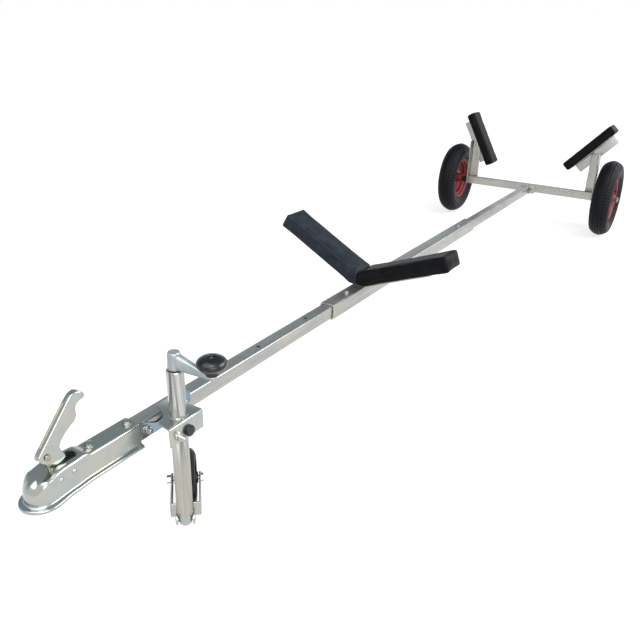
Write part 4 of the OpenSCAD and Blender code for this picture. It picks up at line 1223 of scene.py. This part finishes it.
for name, s in (("left", 1), ("right", -1)):
    body = "wheel_" + name
    W = along_y(0, s * 0.430, AXLE_Z, s)
    p = Piece("road_tyre_" + name, body, "tyre")
    p.add(tyre_shape(), RUBBER, W)
    p.make(["tyre_" + name], angle=40)
    p = Piece("road_rim_" + name, body, "rim_red")
    p.add(lathe(rim_shape(), 128), RED, W)
    disc = [(0.0905, 0.0010), (0.0880, 0.0055), (0.0820, 0.0100), (0.0740, 0.0118), (0.0660, 0.0105),
        (0.0580, 0.0078), (0.0500, 0.0075), (0.0440, 0.0100), (0.0360, 0.0118), (0.0258, 0.0118),
        (0.0258, 0.0096), (0.0360, 0.0096), (0.0436, 0.0078), (0.0500, 0.0053), (0.0585, 0.0056),
        (0.0665, 0.0083), (0.0740, 0.0096), (0.0812, 0.0080), (0.0862, 0.0040), (0.0885, -0.0020),
        (0.0892, -0.0040), (0.0905, -0.0040)]
    p.add(lathe(disc, 128), RED, W)
    p.make(["rim_" + name], angle=40)
    p = Piece("road_hub_" + name, body, "rim_red")
    hb = [(0.01006, -0.038), (0.0180, -0.038), (0.0225, -0.0365), (0.0235, -0.0345), (0.0235, -0.012),
        (0.0250, -0.008), (0.0258, 0.0), (0.0258, 0.0120), (0.0250, 0.016), (0.0238, 0.019),
        (0.0235, 0.0345), (0.0225, 0.0365), (0.0180, 0.038), (0.01006, 0.038)]
    p.add(lathe(hb, 72), RED, W)
    p.make(["hub_" + name], angle=40)
    p = Piece("hub_bearings_" + name, body, "black_plastic")
    for e in (-1, 1):
        p.add(washer(0.0103, 0.0178, *sorted((e * 0.0365, e * 0.0384))), SATIN, W)
    p.make()
    p = Piece("rim_bolts_" + name, body, "zinc")
    for k in range(4):
        a = math.radians(45 + 90 * k)
        m = W @ shift(0.0405 * math.cos(a), 0.0405 * math.sin(a), 0.0112)
        bolt(p, m, 0.0035, d=0.008, tail=0.005, turn=a)
    p.make()
    # valve stem through the rim's outer side
    p = Piece("valve_stem_" + name, body, "black_plastic")
    m = W @ spin(200 if s > 0 else 70) @ at((0.0895, 0, 0.0085), (-0.42, 0, 0.9), (0, 1, 0))
    p.add(turned([(0, 0), (0.0052, 0), (0.0050, 0.004), (0.0036, 0.008), (0.0033, 0.020), (0.0030, 0.0205),
        (0.0030, 0.021), (0.0042, 0.0212), (0.0042, 0.0285), (0.0036, 0.0295), (0, 0.0295)], 24), SATIN, m)
    p.make()

# CAD nodes that still show get their slot's material
SLOT_OF = {s["node"]: s["material_slot"] for s in frame["record"]["subparts"]}
for n, o in NODE.items():
    o.data.materials.clear()
    o.data.materials.append(MAT_OF_SLOT[SLOT_OF[n]])


# ---------------------------------------------------------------- stage, light and camera
def world_light():
    """White for the camera, soft for shading, and a surround that only reflections see."""
    w = bpy.data.worlds.new("studio")
    bpy.context.scene.world = w
    t = Tree(w)
    seen, camera_ray = t.seen()
    # it is white at floor level and on the left, and a cool dark grey up on the right
    way = t.new("ShaderNodeTexCoord").outputs["Generated"]
    lean = t.new("ShaderNodeVectorMath", {0: way, 1: (-0.45, -0.80, 0.40)}, operation="DOT_PRODUCT")
    ramp = t.new("ShaderNodeValToRGB", {0: t.math("MULTIPLY_ADD", lean.outputs["Value"], 0.5, 0.5)})
    stops = [(0.59, (1, 1, 1)), (0.70, (0.60, 0.65, 0.68)), (0.80, (0.37, 0.455, 0.525)), (0.92,
        (0.28, 0.36, 0.43))]
    first, last = ramp.color_ramp.elements
    first.position, first.color = 0.0, (1, 1, 1, 1)
    last.position, last.color = 1.0, (0.31, 0.385, 0.445, 1)
    for pos, color in stops:
        ramp.color_ramp.elements.new(pos).color = (*color, 1)
    above = t.span(t.new("ShaderNodeSeparateXYZ", {0: way}).outputs["Z"], 0.12, 0.34)
    share = t.math("MULTIPLY", above, t.math("SUBTRACT", 1.0, camera_ray))
    color = t.mix(share, (1, 1, 1), ramp.outputs[0])
    white = t.new("ShaderNodeBackground", {"Color": color, "Strength": 1.0}).outputs[0]
    soft = t.new("ShaderNodeBackground", {"Color": (0.93, 0.97, 1.0), "Strength": 0.55}).outputs[0]
    t.new("ShaderNodeOutputWorld", {0: t.blend(seen, soft, white)})


def floor_piece():
    """White floor that the camera and reflections see bright, and that lights the part less."""
    bm = bmesh.new()
    bmesh.ops.create_grid(bm, x_segments=1, y_segments=1, size=60.0)
    me = bpy.data.meshes.new("floor")
    bm.to_mesh(me)
    bm.free()
    m = bpy.data.materials.new("floor_white")
    t = Tree(m)
    glow = t.new("ShaderNodeEmission", {"Strength": 0.75}).outputs[0]
    matte = t.new("ShaderNodeBsdfDiffuse", {"Color": (0.32, 0.32, 0.32)}).outputs[0]
    plain = t.new("ShaderNodeBsdfDiffuse", {"Color": (0.62, 0.61, 0.59)}).outputs[0]
    bright = t.new("ShaderNodeAddShader", {0: glow, 1: matte}).outputs[0]
    t.new("ShaderNodeOutputMaterial", {0: t.blend(t.seen()[0], plain, bright)})
    me.materials.append(m)
    linked("floor", me)


def light(name, kind, where, towards, color, **settings):
    d = bpy.data.lights.new(name, kind)
    d.color = color
    for k, v in settings.items():
        setattr(d, k, v)
    o = linked(name, d)
    o.location = where
    o.rotation_mode = "QUATERNION"
    o.rotation_quaternion = (Vector(towards) - Vector(where)).to_track_quat("-Z", "Y")


def softbox(name, where, towards, size, power, color=(1.0, 1.0, 1.0)):
    light(name, "AREA", where, towards, color, shape="RECTANGLE", size=size[0], size_y=size[1],
        energy=power)


world_light()
floor_piece()
WARM = (1.0, 0.99, 0.97)
light("key", "SUN", (0, 0, 0), (-0.35, -0.35, -1.0), WARM, energy=1.0, angle=math.radians(35))
softbox("softbox_side", (-1.6, 3.7, 2.9), (0.5, 0, 0.2), (3.6, 2.6), 205)
softbox("softbox_front", (3.4, 2.6, 1.6), (1.4, 0, 0.2), (2.6, 1.8), 55, WARM)
softbox("softbox_top", (2.65, -0.20, 2.6), (1.55, 0, 0.2), (2.3, 2.3), 38)
softbox("softbox_rear", (-5.6, 1.9, 2.5), (-0.3, 0, 0.2), (2.6, 2.2), 32)

# camera, given in the level layout
CAM_AT = (3.8274, 0.9835, 1.0125)
YAW, PITCH, ROLL = (math.radians(a) for a in (211.61, -24.02, 1.57))
ahead = Vector((math.cos(PITCH) * math.cos(YAW), math.cos(PITCH) * math.sin(YAW), math.sin(PITCH)))
flat = ahead.cross(Vector(UP)).normalized()
rise = flat.cross(ahead)
right = flat * math.cos(ROLL) + rise * math.sin(ROLL)
up = rise * math.cos(ROLL) - flat * math.sin(ROLL)
view = Matrix((right, up, -ahead)).transposed().to_4x4()
view.translation = CAM_AT
cam_data = bpy.data.cameras.new("camera")
cam_data.sensor_width, cam_data.lens = 36.0, 37.043
cam_data.clip_start, cam_data.clip_end = 0.05, 300
cam = linked("camera", cam_data)
cam.matrix_world = LEVEL @ view
bpy.context.scene.camera = cam
bpy.context.scene.view_settings.view_transform = "Standard"
